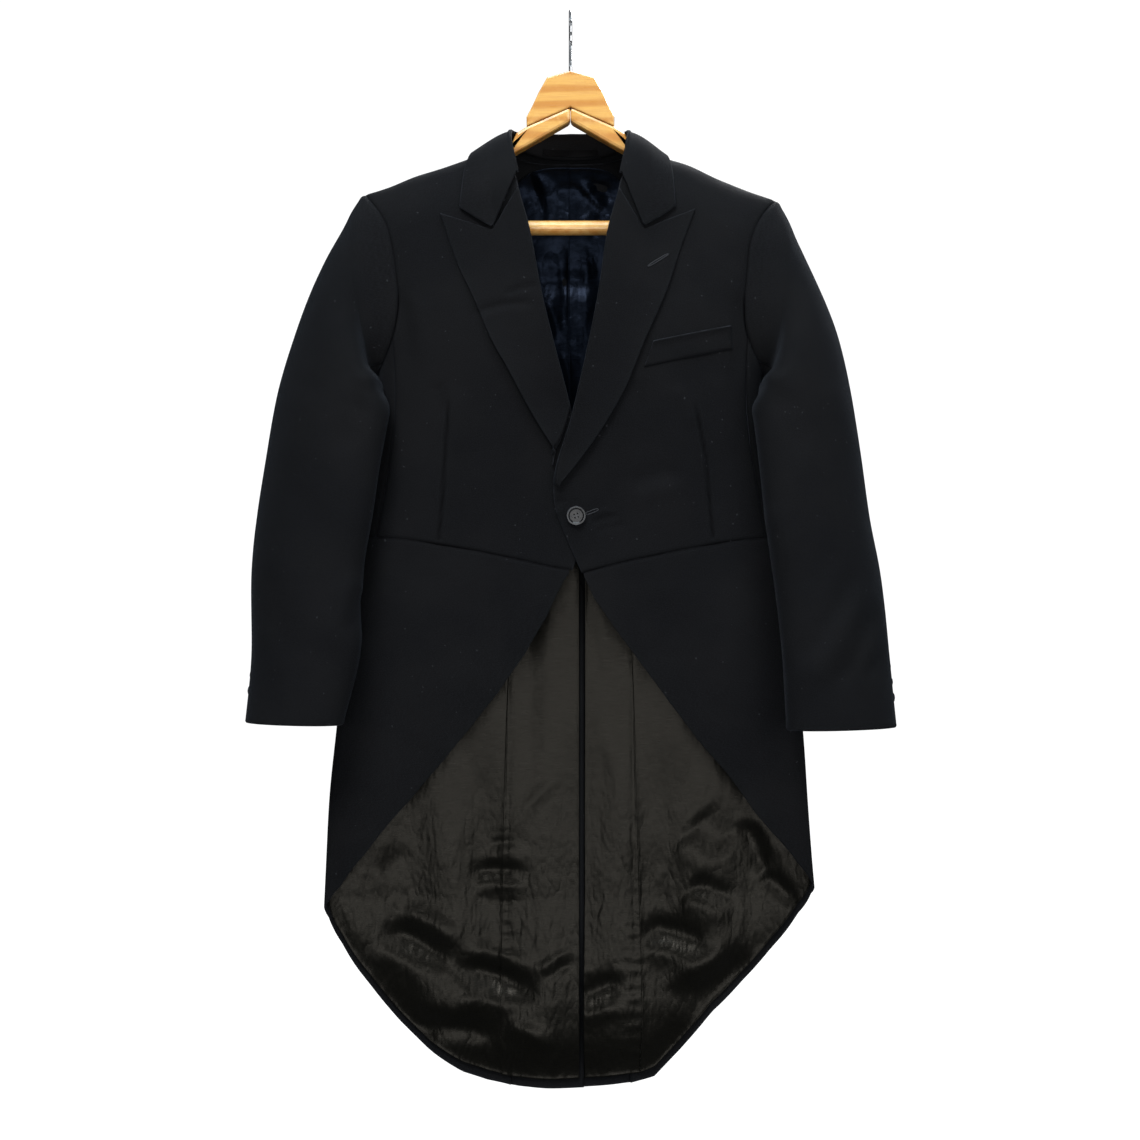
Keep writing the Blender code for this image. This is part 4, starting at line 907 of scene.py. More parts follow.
def line_distance(grid, line):
    """Each point's distance, seen from the front, from a line of (place, drop) points."""
    x, drop = grid[:, :, 0], drops(grid)
    nearest = np.full(x.shape, FAR)
    for (x0, d0), (x1, d1) in zip(line, line[1:]):
        run = np.array((x1 - x0, d1 - d0), float)
        share = np.clip(((x - x0) * run[0] + (drop - d0) * run[1]) / (run @ run), 0, 1)
        nearest = np.minimum(nearest, np.hypot(x - x0 - share * run[0], drop - d0 - share * run[1]))
    return nearest


def gentle_waves(grid, seed, amount):
    """The slow uneven waviness that no hanging cloth is without."""
    random = np.random.default_rng(seed)
    x, drop = grid[:, :, 0], drops(grid)
    height = np.zeros_like(x)
    for _ in range(WAVES):
        length = random.uniform(*WAVE_LENGTHS)
        angle = random.normal(0.0, WAVE_TILT)
        phase = random.uniform(0, 2 * math.pi)
        along = x * math.cos(angle) + drop * math.sin(angle) * WAVE_SQUASH
        height += np.sin(along * 2 * math.pi / length + phase)
    return amount * height / math.sqrt(WAVES)


def mesh_piece(name, points, quads, uv, material, marks=()):
    """A mesh of quads that rides with the coat, with its flat cut as its map and marks on its points."""
    mesh = bpy.data.meshes.new(name)
    mesh.vertices.add(len(points))
    mesh.vertices.foreach_set("co", (np.asarray(points) * MM).ravel())
    quads = np.asarray(quads, dtype=np.int32)
    mesh.loops.add(quads.size)
    mesh.loops.foreach_set("vertex_index", quads.ravel())
    mesh.polygons.add(len(quads))
    mesh.polygons.foreach_set("loop_start", np.arange(0, quads.size, 4, dtype=np.int32))
    mesh.update(calc_edges=True)
    layer = mesh.uv_layers.new(name="cloth")
    layer.data.foreach_set("uv", (np.asarray(uv)[quads.ravel()] * MM).ravel())
    for label, values in marks:
        mesh.attributes.new(label, "FLOAT", "POINT").data.foreach_set("value", np.asarray(values, np.float32))
    mesh.materials.append(material)
    mesh.shade_smooth()
    obj = bpy.data.objects.new(name, mesh)
    bpy.context.scene.collection.objects.link(obj)
    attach(obj, "root")
    return obj


def wall_quads(rows, columns):
    """Faces of two stacked grids of points, outer then inner, closed round their borders."""
    index = np.arange(rows * columns).reshape(rows, columns)
    a, b = index[:-1, :-1], index[:-1, 1:]
    c, d = index[1:, 1:], index[1:, :-1]
    outer = np.stack([a, b, c, d], axis=2).reshape(-1, 4)
    inner = outer[:, ::-1] + rows * columns
    rim = np.concatenate([index[0, :], index[1:, -1], index[-1, -2::-1], index[-2:0:-1, 0]])
    after = np.roll(rim, -1)
    border = np.stack([after, rim, rim + rows * columns, after + rows * columns], axis=1)
    return np.concatenate([outer, inner, border])


def facing_out(points, quads):
    """The faces, turned over where they look into their own wall."""
    corner = points[quads]
    volume = np.einsum("ij,ij->i", corner[:, 0], np.cross(corner[:, 1], corner[:, 2])).sum()
    volume += np.einsum("ij,ij->i", corner[:, 0], np.cross(corner[:, 2], corner[:, 3])).sum()
    return quads[:, ::-1] if volume < 0 else quads


def roll_borders(height, grid, turn_in):
    """Rolls each free border back by a quarter round of its own radius."""
    for border, radius in enumerate(turn_in):
        if radius:
            only = [border == k for k in range(4)]
            reach = np.clip(1 - border_distance(grid, only) / radius, 0, 1)
            height = height - radius * (1 - np.sqrt(1 - reach ** 2))
    return height


def flat_cut(grid):
    """The flat width, length and area of the cloth that shows."""
    width = float(lengths_along(grid, 1)[:, -1].max())
    length = float(lengths_along(grid, 0)[-1].max())
    cells = np.cross(grid[1:, 1:] - grid[:-1, :-1], grid[1:, :-1] - grid[:-1, 1:])
    area = float(np.linalg.norm(cells, axis=2).sum() / 2)
    return width, length, min(area, width * length)


def cloth(name, node, surface, size, material, out, sewn=(1, 1, 1, 1), relief=None, thickness=CLOTH,
          offset=0.0, gaps=(-OVERLAP,) * 4,
          pitch=PITCH, seam_roll=SEAM_ROLL, span=(0.0, 1.0, 0.0, 1.0), turn_in=(0, 0, 0, 0),
          dart=None):
    """A thin shell of cloth over surface(u, v), with its folds, sewn edges and flat cut.

    size is its rough width and length, out a direction that its outer face looks, and turn_in
    rolls a free border back by that radius. Borders are first u, last u, first v and last v.
    dart is a sewn line inside the piece, along which shade is painted.
    """
    across = [span[0] + (span[1] - span[0]) * s for s in steps(size[0], pitch)]
    down = [span[2] + (span[3] - span[2]) * s for s in steps(size[1], pitch)]
    grid = pull_in(grid_of(surface, across, down), gaps)
    normals = grid_normals(grid)
    if np.dot(normals[len(down) // 2, 1], out) < 0:
        normals = -normals
    height = np.zeros(grid.shape[:2])
    if relief is not None:
        height = relief(grid)
    seam = border_distance(grid, sewn)
    height = roll_borders(height - seam_roll * bell(seam, SEAM_WIDTH), grid, turn_in)
    outer = grid + normals * (offset + height)[:, :, None]
    inner = grid + normals * (offset + height - thickness)[:, :, None]
    points = np.concatenate([outer.reshape(-1, 3), inner.reshape(-1, 3)])
    flat = np.stack([lengths_along(grid, 1) + FLAT_START, drops(grid)], axis=2).reshape(-1, 2)
    # Painted highlight: a lighter line along the free, tightly rolled borders, where such an edge catches the
    # light
    rim = bell(border_distance(grid, [0 < r < SOFT_ROLL for r in turn_in]), EDGE_HIGHLIGHT_WIDTH)
    # Painted shade: a mark along the sewn borders and, below its top, the dart, where the seam's groove lies
    # in shade
    line = bell(seam, SEAM_SHADE_WIDTH)
    if dart is not None:
        dart_shade = below(grid, dart[0][1], DART_FADE) * bell(line_distance(grid, dart), SEAM_SHADE_WIDTH)
        line = np.maximum(line, dart_shade)
    marks = [("seam_shade", line), ("painted_edge_highlight", rim)]
    marks = [(label, np.tile(values.ravel(), 2)) for label, values in marks]
    obj = mesh_piece(name, points, facing_out(points, wall_quads(*height.shape)), np.tile(flat, (2, 1)),
                     material, marks)
    if node:
        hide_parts(*node)
    width, length, area = flat_cut(grid)
    print("cut", name, round(width), "x", round(length), "mm, area", round(area / 100), "cm2")
    return obj


class Tree:
    """Short ways to add and join nodes."""

    def __init__(self, tree):
        self.tree = tree

    def add(self, kind, **settings):
        node = self.tree.nodes.new(kind)
        for key, value in settings.items():
            setattr(node, key, value)
        return node

    def feed(self, target, value):
        if isinstance(value, bpy.types.NodeSocket):
            self.tree.links.new(value, target)
        else:
            target.default_value = value

    def place(self):
        """A point's place on its own object."""
        return self.add("ShaderNodeTexCoord").outputs["Object"]

    def flat(self):
        """A point's place on the flat cloth."""
        return self.add("ShaderNodeTexCoord").outputs["UV"]

    def maths(self, operation, *values):
        node = self.add("ShaderNodeMath", operation=operation)
        for target, value in zip(node.inputs, values):
            self.feed(target, value)
        return node.outputs[0]

    def plus(self, first, second):
        return self.maths("ADD", first, second)

    def times(self, first, *others):
        for other in others:
            first = self.maths("MULTIPLY", first, other)
        return first

    def mix(self, share, first, second):
        node = self.add("ShaderNodeMix", data_type="RGBA")
        for index, value in ((0, share), (6, first), (7, second)):
            self.feed(node.inputs[index], value)
        return node.outputs[2]

    def parts(self, vector):
        node = self.add("ShaderNodeSeparateXYZ")
        self.feed(node.inputs[0], vector)
        return node.outputs

    def stretch(self, vector, scale):
        node = self.add("ShaderNodeMapping")
        self.feed(node.inputs["Vector"], vector)
        node.inputs["Scale"].default_value = scale
        return node.outputs[0]

    def noise(self, vector, scale, detail=3.0, rough=0.5, output="Fac"):
        node = self.add("ShaderNodeTexNoise")
        self.feed(node.inputs["Vector"], vector)
        self.feed(node.inputs["Scale"], scale)
        node.inputs["Detail"].default_value = detail
        node.inputs["Roughness"].default_value = rough
        return node.outputs[output]

    def cells(self, vector, scale):
        node = self.add("ShaderNodeTexVoronoi")
        self.feed(node.inputs["Vector"], vector)
        node.inputs["Scale"].default_value = scale
        return node.outputs

    def between(self, value, low, high, to_low=0.0, to_high=1.0):
        node = self.add("ShaderNodeMapRange", interpolation_type="SMOOTHSTEP")
        for target, number in zip(list(node.inputs)[:5], (value, low, high, to_low, to_high)):
            self.feed(target, number)
        return node.outputs[0]


def new_group(name, inputs, outputs):
    """A group that several finishes use: its own tree, and the nodes for what is given and what results."""
    group = bpy.data.node_groups.new(name, "ShaderNodeTree")
    for label, default in inputs:
        made = group.interface.new_socket(name=label, in_out="INPUT", socket_type="NodeSocketFloat")
        made.default_value = default
    for label in outputs:
        group.interface.new_socket(name=label, in_out="OUTPUT", socket_type="NodeSocketFloat")
    tree = Tree(group)
    return group, tree, tree.add("NodeGroupInput").outputs, tree.add("NodeGroupOutput").inputs


def make_weave_group():
    """Diagonal ribs crossed by yarns, in the cloth's own flat sizes."""
    group, tree, given, result = new_group(
        "twill_weave", [("Ribs per metre", 1500.0), ("Steepness", 0.55)], ["Height", "Fleck"])
    flat = tree.flat()
    across, down, _ = tree.parts(flat)
    wander = tree.times(tree.noise(flat, 420.0, 2.0), 2.4)

    def wave(along):
        phase = tree.times(along, given["Ribs per metre"], 2 * math.pi)
        return tree.maths("SINE", tree.plus(phase, wander))

    ribs = wave(tree.plus(across, tree.times(down, given["Steepness"])))
    height = tree.plus(tree.times(ribs, 0.5), tree.times(wave(down), 0.25))
    fuzz = tree.noise(flat, 1400.0, 4.0, 0.7)
    tree.feed(result["Height"], tree.plus(height, tree.times(fuzz, 0.9)))
    tree.feed(result["Fleck"], tree.between(tree.noise(flat, 900.0, 3.0, 0.75), 0.35, 0.72))
    return group


def make_lint_group():
    """Sparse pale specks of lint and loose fibre."""
    group, tree, given, result = new_group("lint", [("Amount", 0.4)], ["Mask"])
    place = tree.place()
    shake = tree.add("ShaderNodeVectorMath", operation="SCALE")
    tree.feed(shake.inputs[0], tree.noise(place, 300.0, 2.0, 0.5, "Color"))
    shake.inputs["Scale"].default_value = 0.0035
    bent = tree.add("ShaderNodeVectorMath", operation="ADD")
    tree.feed(bent.inputs[0], place)
    tree.feed(bent.inputs[1], shake.outputs[0])
    cells = tree.cells(bent.outputs[0], 95.0)
    speck = tree.between(cells["Distance"], 0.05, 0.10, 1.0, 0.0)
    pick = tree.between(cells["Color"], 0.55, 0.60)
    tree.feed(result["Mask"], tree.times(speck, pick, given[0]))
    return group


def make_tone_group():
    """Slow unevenness of tone: pressing, dust and wear in broad soft patches."""
    group, tree, given, result = new_group("broad_tone", [("Scale", 9.0)], ["Tone"])
    broad = tree.noise(tree.place(), given["Scale"], 3.0, 0.6)
    tree.feed(result["Tone"], tree.between(broad, 0.3, 0.72))
    return group


def make_edge_group():
    """Bright on outward corners only: partly worn edges, partly a painted highlight where an edge catches the
    light.
    """
    group, tree, given, result = new_group("edge_wear_and_highlight", [("Start", 0.52)], ["Mask"])
    sharp = tree.add("ShaderNodeNewGeometry").outputs["Pointiness"]
    worn = tree.between(sharp, given["Start"], tree.plus(given["Start"], 0.06))
    broken = tree.between(tree.noise(tree.place(), 120.0, 4.0, 0.7), 0.35, 0.65)
    tree.feed(result["Mask"], tree.times(worn, broken))
    return group


def make_grain_group():
    """Growth lines of straight-grained wood that run along X, with a few small knots."""
    group, tree, given, result = new_group(
        "wood_grain", [("Lines per metre", 90.0), ("Tilt", 0.0)], ["Line", "Fibre", "Knot"])
    place = tree.place()
    x, y, z = tree.parts(place)
    slope = tree.times(tree.maths("ABSOLUTE", x), given["Tilt"])
    level = tree.plus(tree.plus(z, slope), tree.times(y, 0.35))
    wander = tree.times(tree.noise(tree.stretch(place, (5.0, 40.0, 40.0)), 1.0, 3.0, 0.55), 7.0)
    lines = tree.times(level, given["Lines per metre"], 2 * math.pi)
    wave = tree.maths("SINE", tree.plus(lines, wander))
    tree.feed(result["Line"], tree.between(wave, -0.5, 1.0))
    fibre = tree.noise(tree.stretch(place, (30.0, 900.0, 900.0)), 1.0, 4.0, 0.6)
    tree.feed(result["Fibre"], fibre)
    spots = tree.cells(tree.stretch(place, (1.0, 0.4, 1.6)), 17.0)
    tree.feed(result["Knot"], tree.between(spots["Distance"], 0.05, 0.12, 1.0, 0.0))
    return group


WEAVE, LINT, TONE, EDGE_WEAR_AND_HIGHLIGHT, GRAIN = (make() for make in (
    make_weave_group, make_lint_group, make_tone_group, make_edge_group, make_grain_group))


class Finish(Tree):
    """A material with its Principled shader and the groups it uses."""

    def __init__(self, name, roughness, metallic=0.0, **plain):
        self.material = bpy.data.materials.new(name)
        self.material.use_nodes = True
        super().__init__(self.material.node_tree)
        self.shader = self.tree.nodes["Principled BSDF"]
        self.shader.inputs["Roughness"].default_value = roughness
        self.shader.inputs["Metallic"].default_value = metallic
        for key, value in plain.items():
            self.shader.inputs[key.replace("_", " ")].default_value = value

    def group(self, group, **values):
        node = self.add("ShaderNodeGroup", node_tree=group)
        for key, value in values.items():
            self.feed(node.inputs[key.replace("_", " ")], value)
        return node.outputs

    def set(self, name, value):
        self.feed(self.shader.inputs[name], value)

    def mark(self, name):
        """A mark on the mesh's own points."""
        return self.add("ShaderNodeAttribute", attribute_name=name).outputs["Fac"]

    def bump(self, height, strength, distance, under=None):
        node = self.add("ShaderNodeBump")
        node.inputs["Strength"].default_value = strength
        node.inputs["Distance"].default_value = distance
        self.feed(node.inputs["Height"], height)
        if under is not None:
            self.feed(node.inputs["Normal"], under)
        return node.outputs[0]

    def streaky(self, streak, base, rough, relief):
        """Base colour, with the roughness and the fine relief from one pattern of streaks."""
        self.set("Base Color", base)
        self.set("Roughness", self.between(streak, *rough))
        self.set("Normal", self.bump(streak, *relief))
        return self.material


def colour(red, green, blue):
    """A shader colour from the numbers that a screen shows, 0 to 255."""
    parts = [channel / 255 for channel in (red, green, blue)]
    return (*[c / 12.92 if c < 0.04 else ((c + 0.055) / 1.055) ** 2.4 for c in parts], 1.0)


def coat_wool():
    """Black twill with a soft nap: flecks, dust and a few specks of lint, corners lighter partly from wear
    and partly as a painted highlight, a painted highlight along free edges and painted shade along the seams.
    """
    made = Finish("black_wool", 0.86, Sheen_Weight=0.035, Sheen_Roughness=0.35, Specular_IOR_Level=0.05)
    made.set("Sheen Tint", colour(205, 218, 240))
    weave = made.group(WEAVE)
    tone = made.group(TONE)["Tone"]
    base = made.mix(weave["Fleck"], colour(8, 9, 10), colour(24, 25, 28))
    # Over the flecks: broad random tone, lighter outward corners (partly wear, partly painted highlight),
    # painted shade along seams and darts, and a painted highlight along free edges
    for share, amount, tint in ((tone, 0.30, colour(22, 22, 23)),
                                (made.group(EDGE_WEAR_AND_HIGHLIGHT, Start=0.53)["Mask"], 0.35, colour(58, 61, 67)),
                                (made.mark("seam_shade"), 0.8, colour(3, 3, 4)),
                                (made.mark("painted_edge_highlight"), 0.12, colour(36, 39, 44))):
        base = made.mix(made.times(share, amount), base, tint)
    made.set("Base Color", made.mix(made.group(LINT, Amount=0.10)["Mask"], base, colour(120, 122, 128)))
    made.set("Roughness", made.between(tone, 0.0, 1.0, 0.90, 0.78))
    soft = made.bump(made.noise(made.place(), 26.0, 3.0, 0.5), 0.35, 0.0016)
    made.set("Normal", made.bump(weave["Height"], 0.5, 0.00022, soft))
    return made.material


def satin(name, dark, light, shine, tint, rough, stretch, calm_above=None):
    """Lining satin: fine warp lines, a strong sheen and small crumples, calmer above a height."""
    made = Finish(name, rough, Specular_IOR_Level=shine, Sheen_Weight=0.02, Sheen_Roughness=0.3)
    made.set("Specular Tint", tint)
    flat = made.flat()
    warp = made.noise(made.stretch(flat, (2600.0, 60.0, 1.0)), 1.0, 2.0, 0.6)
    weft = made.noise(made.stretch(flat, (60.0, 3200.0, 1.0)), 1.0, 2.0, 0.6)
    tone = made.group(TONE, Scale=14.0)["Tone"]
    base = made.mix(made.between(warp, 0.3, 0.7), dark, light)
    made.set("Base Color", made.mix(made.times(tone, 0.3), base, light))
    made.set("Roughness", made.between(weft, 0.2, 0.8, rough - 0.05, rough + 0.09))
    place = made.place()
    crumple = made.noise(made.stretch(place, stretch), 17.0, 3.0, 0.62)
    ridges = made.maths("ABSOLUTE", made.maths("SUBTRACT", crumple, 0.5))
    if calm_above is not None:
        height = made.parts(place)[2]
        ridges = made.times(ridges, made.between(height, calm_above - 0.22, calm_above, 1.0, 0.25))
    crumples = made.bump(ridges, 1.0, 0.004)
    made.set("Normal", made.bump(made.plus(warp, weft), 0.25, 0.0002, crumples))
    return made.material


def plain_finishes():
    """Wood, wire, button, label and thread."""
    wood = Finish("varnished_wood", 0.30, Coat_Weight=0.45, Coat_Roughness=0.16)
    grain = wood.group(GRAIN, Lines_per_metre=62.0, Tilt=0.0)
    fibre = grain["Fibre"]
    base = wood.mix(grain["Line"], colour(208, 160, 84), colour(184, 126, 56))
    base = wood.mix(wood.between(fibre, 0.35, 0.75, 0.0, 0.45), base, colour(176, 116, 50))
    base = wood.mix(wood.times(grain["Knot"], 0.75), base, colour(128, 74, 30))
    base = wood.mix(wood.times(wood.group(EDGE_WEAR_AND_HIGHLIGHT, Start=0.52)["Mask"], 0.4), base, colour(226, 190, 122))

    steel = Finish("hook_wire", 0.22, 1.0)
    drawn = steel.noise(steel.stretch(steel.place(), (900.0, 900.0, 60.0)), 1.0, 3.0, 0.6)
    steel_base = steel.mix(drawn, colour(196, 198, 200), colour(150, 152, 156))

    horn = Finish("black_button", 0.16, Specular_IOR_Level=0.24)
    streak = horn.noise(horn.stretch(horn.place(), (160.0, 160.0, 420.0)), 1.0, 4.0, 0.6)
    horn_base = horn.mix(horn.between(streak, 0.4, 0.7), colour(8, 9, 11), colour(20, 22, 26))
    # The button's lighter rim is a painted highlight, the ring of light that its rim catches
    horn_base = horn.mix(horn.times(horn.group(EDGE_WEAR_AND_HIGHLIGHT, Start=0.53)["Mask"], 0.5), horn_base, colour(60, 64, 70))

    tape = Finish("label_tape", 0.7, Specular_IOR_Level=0.05)
    weft = tape.noise(tape.stretch(tape.flat(), (400.0, 3500.0, 1.0)), 1.0, 3.0, 0.6)

    thread = Finish("black_thread", 0.5, Sheen_Weight=0.04, Specular_IOR_Level=0.2)
    ply = thread.noise(thread.place(), 1500.0, 3.0, 0.7)
    return {
        "wood": wood.streaky(fibre, base, (0.2, 0.8, 0.24, 0.42), (0.12, 0.0004)),
        "steel": steel.streaky(drawn, steel_base, (0.3, 0.7, 0.16, 0.34), (0.15, 0.0002)),
        "horn": horn.streaky(streak, horn_base, (0.3, 0.8, 0.12, 0.30), (0.08, 0.0002)),
        "tape": tape.streaky(weft, tape.mix(weft, colour(1, 1, 2), colour(7, 7, 9)),
                             (0.3, 0.7, 0.5, 0.7), (0.4, 0.0002)),
        "thread": thread.streaky(ply, thread.mix(ply, colour(15, 16, 19), colour(38, 40, 46)),
                                 (0.3, 0.7, 0.42, 0.62), (0.5, 0.0003)),
    }


WOOL = coat_wool()
NAVY_SATIN = satin("body_satin", colour(1, 2, 4), colour(4, 6, 10), 0.12, colour(178, 204, 255),
                   0.30, (1.4, 1.0, 1.1))
OLIVE_SATIN = satin("tail_satin", colour(2, 2, 1), colour(6, 6, 5), 0.135, colour(255, 248, 234),
                    0.29, (2.2, 0.5, 0.9), -0.72)
PLAIN = plain_finishes()


# Folds and creases laid in
# start place, start drop, end place, end drop, half width, height
FRONT_CREASES = (
    (-98, 322, -34, 312, 4.5, -1.7), (-66, 303, -31, 294, 3.5, -1.3), (62, 497, 116, 482, 12, -1.6),
    (66, 512, 120, 498, 10, 1.1), (22, 536, 52, 529, 3.5, -1.1), (26, 545, 60, 538, 4.0, -0.8),
    (24, 528, 44, 523, 3.0, 0.7), (-17, 517, -2, 512, 3.0, -1.0), (-20, 528, -4, 522, 3.0, 0.6),
    (-178, 296, -172, 392, 11, -2.4), (-160, 300, -158, 380, 12, 1.2), (-138, 392, -133, 432, 7, -1.1),
    (-118, 400, -112, 470, 12, 0.9), (60, 392, 72, 425, 9, -1.2), (108, 396, 126, 440, 10, 1.1),
    (150, 386, 160, 470, 13, 1.3), (176, 300, 172, 384, 10, -2.2), (120, 300, 150, 352, 16, 0.9),
    (-60, 430, -110, 520, 18, 0.8), (40, 440, 30, 500, 12, 0.8), (-200, 440, -196, 540, 10, -1.6),
    (196, 440, 200, 540, 10, -1.6),
)
SKIRT_CREASES = (
    (-252, 887, -216, 876, 5, -1.6), (-250, 879, -214, 868, 5, 1.2), (-246, 898, -212, 884, 6, -0.8),
    (-150, 600, -176, 760, 22, 1.6), (-100, 600, -120, 700, 20, -1.2), (-205, 590, -222, 800, 16, -2.2),
    (130, 600, 150, 730, 22, 1.5), (90, 610, 100, 690, 18, -1.1), (200, 590, 222, 790, 16, -2.0),
    (175, 700, 210, 840, 16, 1.4), (-120, 775, -175, 742, 7, 0.9), (235, 740, 246, 860, 9, -1.4),
)
BACK_CREASES = (
    (-60, 190, -110, 245, 20, 1.8), (60, 190, 115, 250, 20, 1.8), (-160, 240, -150, 350, 12, -2.4),
    (162, 245, 150, 355, 12, -2.4), (-30, 500, -110, 480, 12, -1.6), (35, 505, 118, 484, 12, -1.5),
    (-24, 520, -90, 508, 9, 1.1), (28, 526, 96, 510, 9, 1.1), (-95, 300, -80, 420, 22, 1.2),
    (92, 310, 84, 430, 22, 1.3), (-8, 165, -40, 178, 8, -1.2), (10, 166, 44, 180, 8, -1.1),
    (-150, 640, -165, 900, 24, 1.8), (150, 640, 170, 880, 24, 1.7), (-90, 700, -100, 1000, 22, -1.6),
    (95, 720, 100, 980, 22, -1.7), (-215, 700, -225, 880, 12, -1.6), (214, 700, 222, 860, 12, -1.5),
)
LINING_CREASES = (
    (-104, 903, -46, 905, 8, -2.9), (-92, 890, -50, 888, 7, 1.4), (-84, 874, -56, 871, 4, -1.6),
    (-100, 920, -48, 922, 8, 2.0), (-192, 963, -120, 1002, 13, -5.0), (-176, 944, -116, 978, 12, 2.8),
    (-204, 984, -150, 1020, 12, 2.2), (-124, 1002, -30, 1034, 13, -5.0), (-108, 986, -36, 1008, 11, 2.6),
    (-118, 1034, -56, 1052, 13, 3.0), (-158, 1062, -76, 1078, 12, -4.6), (-66, 1062, -22, 1084, 10, 2.6),
    (132, 846, 168, 880, 19, -4.0), (116, 872, 150, 904, 14, 2.2), (128, 915, 172, 934, 9, -4.6),
    (118, 932, 164, 952, 10, 2.4), (182, 852, 203, 908, 8, -5.0), (203, 906, 238, 936, 8, -5.0),
    (196, 842, 222, 894, 8, 2.4), (78, 962, 152, 982, 12, -4.8), (74, 984, 140, 1004, 12, 2.8),
    (182, 992, 110, 1042, 18, -5.0), (160, 984, 96, 1020, 12, 2.4), (14, 1036, 56, 1015, 11, -4.0),
    (12, 1058, 58, 1044, 9, 2.2), (-200, 908, -172, 880, 9, -2.2), (-60, 860, -10, 800, 6, 1.2),
    (-34, 1006, 0, 984, 3.5, 1.6), (-28, 1016, 4, 996, 3.5, -1.6), (-150, 700, -90, 640, 10, 0.8),
    (40, 760, 46, 880, 7, 0.9), (-62, 700, -60, 820, 6, 0.8), (100, 700, 120, 800, 12, 0.9),
    (-120, 790, -108, 880, 10, 1.0), (20, 640, 24, 760, 5, 0.7),
)
BODY_LINING_CREASES = (
    (-44, 168, -30, 222, 5, -2.0), (-34, 160, -22, 214, 5, 1.6), (12, 172, 36, 200, 5, 1.6),
    (20, 168, 46, 190, 4, -1.6), (-16, 180, 16, 176, 5, -1.2), (34, 196, 22, 232, 5, -1.6),
    (-60, 282, 54, 284, 13, -3.0), (-37, 162, -9, 194, 3.5, 1.6), (4, 166, 36, 204, 3.5, 1.5),
    (22, 183, 46, 173, 3.5, -1.4), (-44, 190, -30, 211, 4, 1.5), (-14, 236, -10, 330, 6, -1.8),
    (12, 240, 10, 340, 6, 1.4), (-24, 300, -12, 340, 4, 1.8), (-40, 240, -32, 300, 6, 1.5),
    (30, 250, 26, 330, 6, -1.6), (-8, 352, -2, 420, 4, 1.4),
)
SLEEVE_FRONT_CREASES = (
    (288, 590, 222, 684, 11, -2.6), (314, 622, 262, 706, 9, -2.6), (332, 646, 300, 694, 7, -2.0),
    (266, 560, 236, 604, 12, -1.4), (262, 392, 286, 470, 16, 1.5), (214, 404, 236, 470, 12, -2.0),
    (206, 520, 214, 590, 10, 1.6), (250, 240, 264, 330, 20, 1.2), (222, 250, 214, 340, 12, -1.4),
    (-268, 400, -292, 480, 18, 1.4), (-212, 410, -236, 466, 12, -2.0), (-214, 606, -226, 652, 9, -2.6),
    (-284, 500, -250, 560, 14, -1.1), (-316, 640, -290, 700, 14, 1.1), (-250, 240, -262, 330, 20, 1.2),
    (-220, 250, -212, 340, 12, -1.4),
)
SLEEVE_BACK_CREASES = (
    (238, 470, 296, 500, 10, -3.0), (232, 490, 292, 522, 10, 2.6), (240, 520, 300, 540, 9, -2.4),
    (236, 400, 280, 420, 12, -1.8), (-240, 474, -300, 500, 10, -3.0), (-234, 494, -296, 524, 10, 2.6),
    (-244, 522, -304, 542, 9, -2.4), (-238, 402, -284, 424, 12, -1.8), (240, 620, 290, 640, 12, 1.8),
    (-242, 622, -292, 640, 12, 1.8),
)
DARTS = {
    LEFT: ((-125, 406), (-132, 513), (-136, 552)),
    RIGHT: ((127, 408), (139, 467), (144, 518), (147, 550)),
}

# Each drop at which something changes, with the run over which it does
PLEAT_DROPS = (552, 14)
TAIL_DROPS = (560, 40)
PUCKER_DROPS = (600, 260)
LOW_TAIL_DROPS = (880, 120)
HEM_DROPS = (930, 110)
LOOSE_DROPS = (185, 25)
LAPEL_DROPS = (240, 120)

# Gathers across the lining's seams: their length, reach and height, and the seam line itself
PUCKER_LENGTH = 13.0
PUCKER_REACH = 9.0
PUCKER_HEIGHT = 0.34
SEAM_DIP, SEAM_DIP_WIDTH = 0.7, 2.0
DART_WIDTH, DART_DEPTH = 1.3, 1.5
DART_SWELL, DART_SWELL_WIDTH = 0.36, 4.0
PLEAT_RISE, PLEAT_WIDTH = 1.4, 5.0
FACE_TURN = 12.0

# The linings: how far they stand off at least, in the back and at the hem
LINING_EASE = 1.3
BODY_LINING_EASE = 3.4
HEM_FALL = 7.5
HEM_FALL_REACH = 28.0
LINING_THICK = 0.6

# The sleeves: the fullness of the cap below its seam, and the cloth bunched under the arm
CAP_RISE, CAP_PLACE, CAP_WIDTH = 1.3, 6.0, 5.0
UNDER_ARM_FULLNESS = 4.5
UNDER_ARM_DROP, UNDER_ARM_WIDTH = 389.0, 9.0
UNDER_ARM_PLACE, UNDER_ARM_RUN = 222.0, 16.0

# Collar and lapels: the stand's top when it is carried up to the fold's own level, the fold's share
# of the fall, and how far the lapel's edge lifts off over this width
STAND_TOP = -STAND_START / (1 - STAND_START)
FOLD_SHARE = 0.12
LAPEL_LIFT = 4.2
LAPEL_LIFT_WIDTH = 34.0
LAPEL_END = 0.993
COLLAR_THICK, STAND_THICK, LAPEL_THICK = 1.5, 1.2, 1.8

# The welt's top stands off a little; a buttonhole's cord
WELT_STAND_OFF = 1.8
WELT_STAND_WIDTH = 9.0
CORD = 0.55
CORD_POINTS = 40


def groove(grid, line):
    """A dart's narrow sewn line across a panel, fading in from its first point."""
    nearest = line_distance(grid, line)
    swell = DART_SWELL * DART_DEPTH * bell(nearest - DART_SWELL_WIDTH, DART_SWELL_WIDTH)
    return below(grid, line[0][1], DART_FADE) * (swell - DART_DEPTH * bell(nearest, DART_WIDTH))


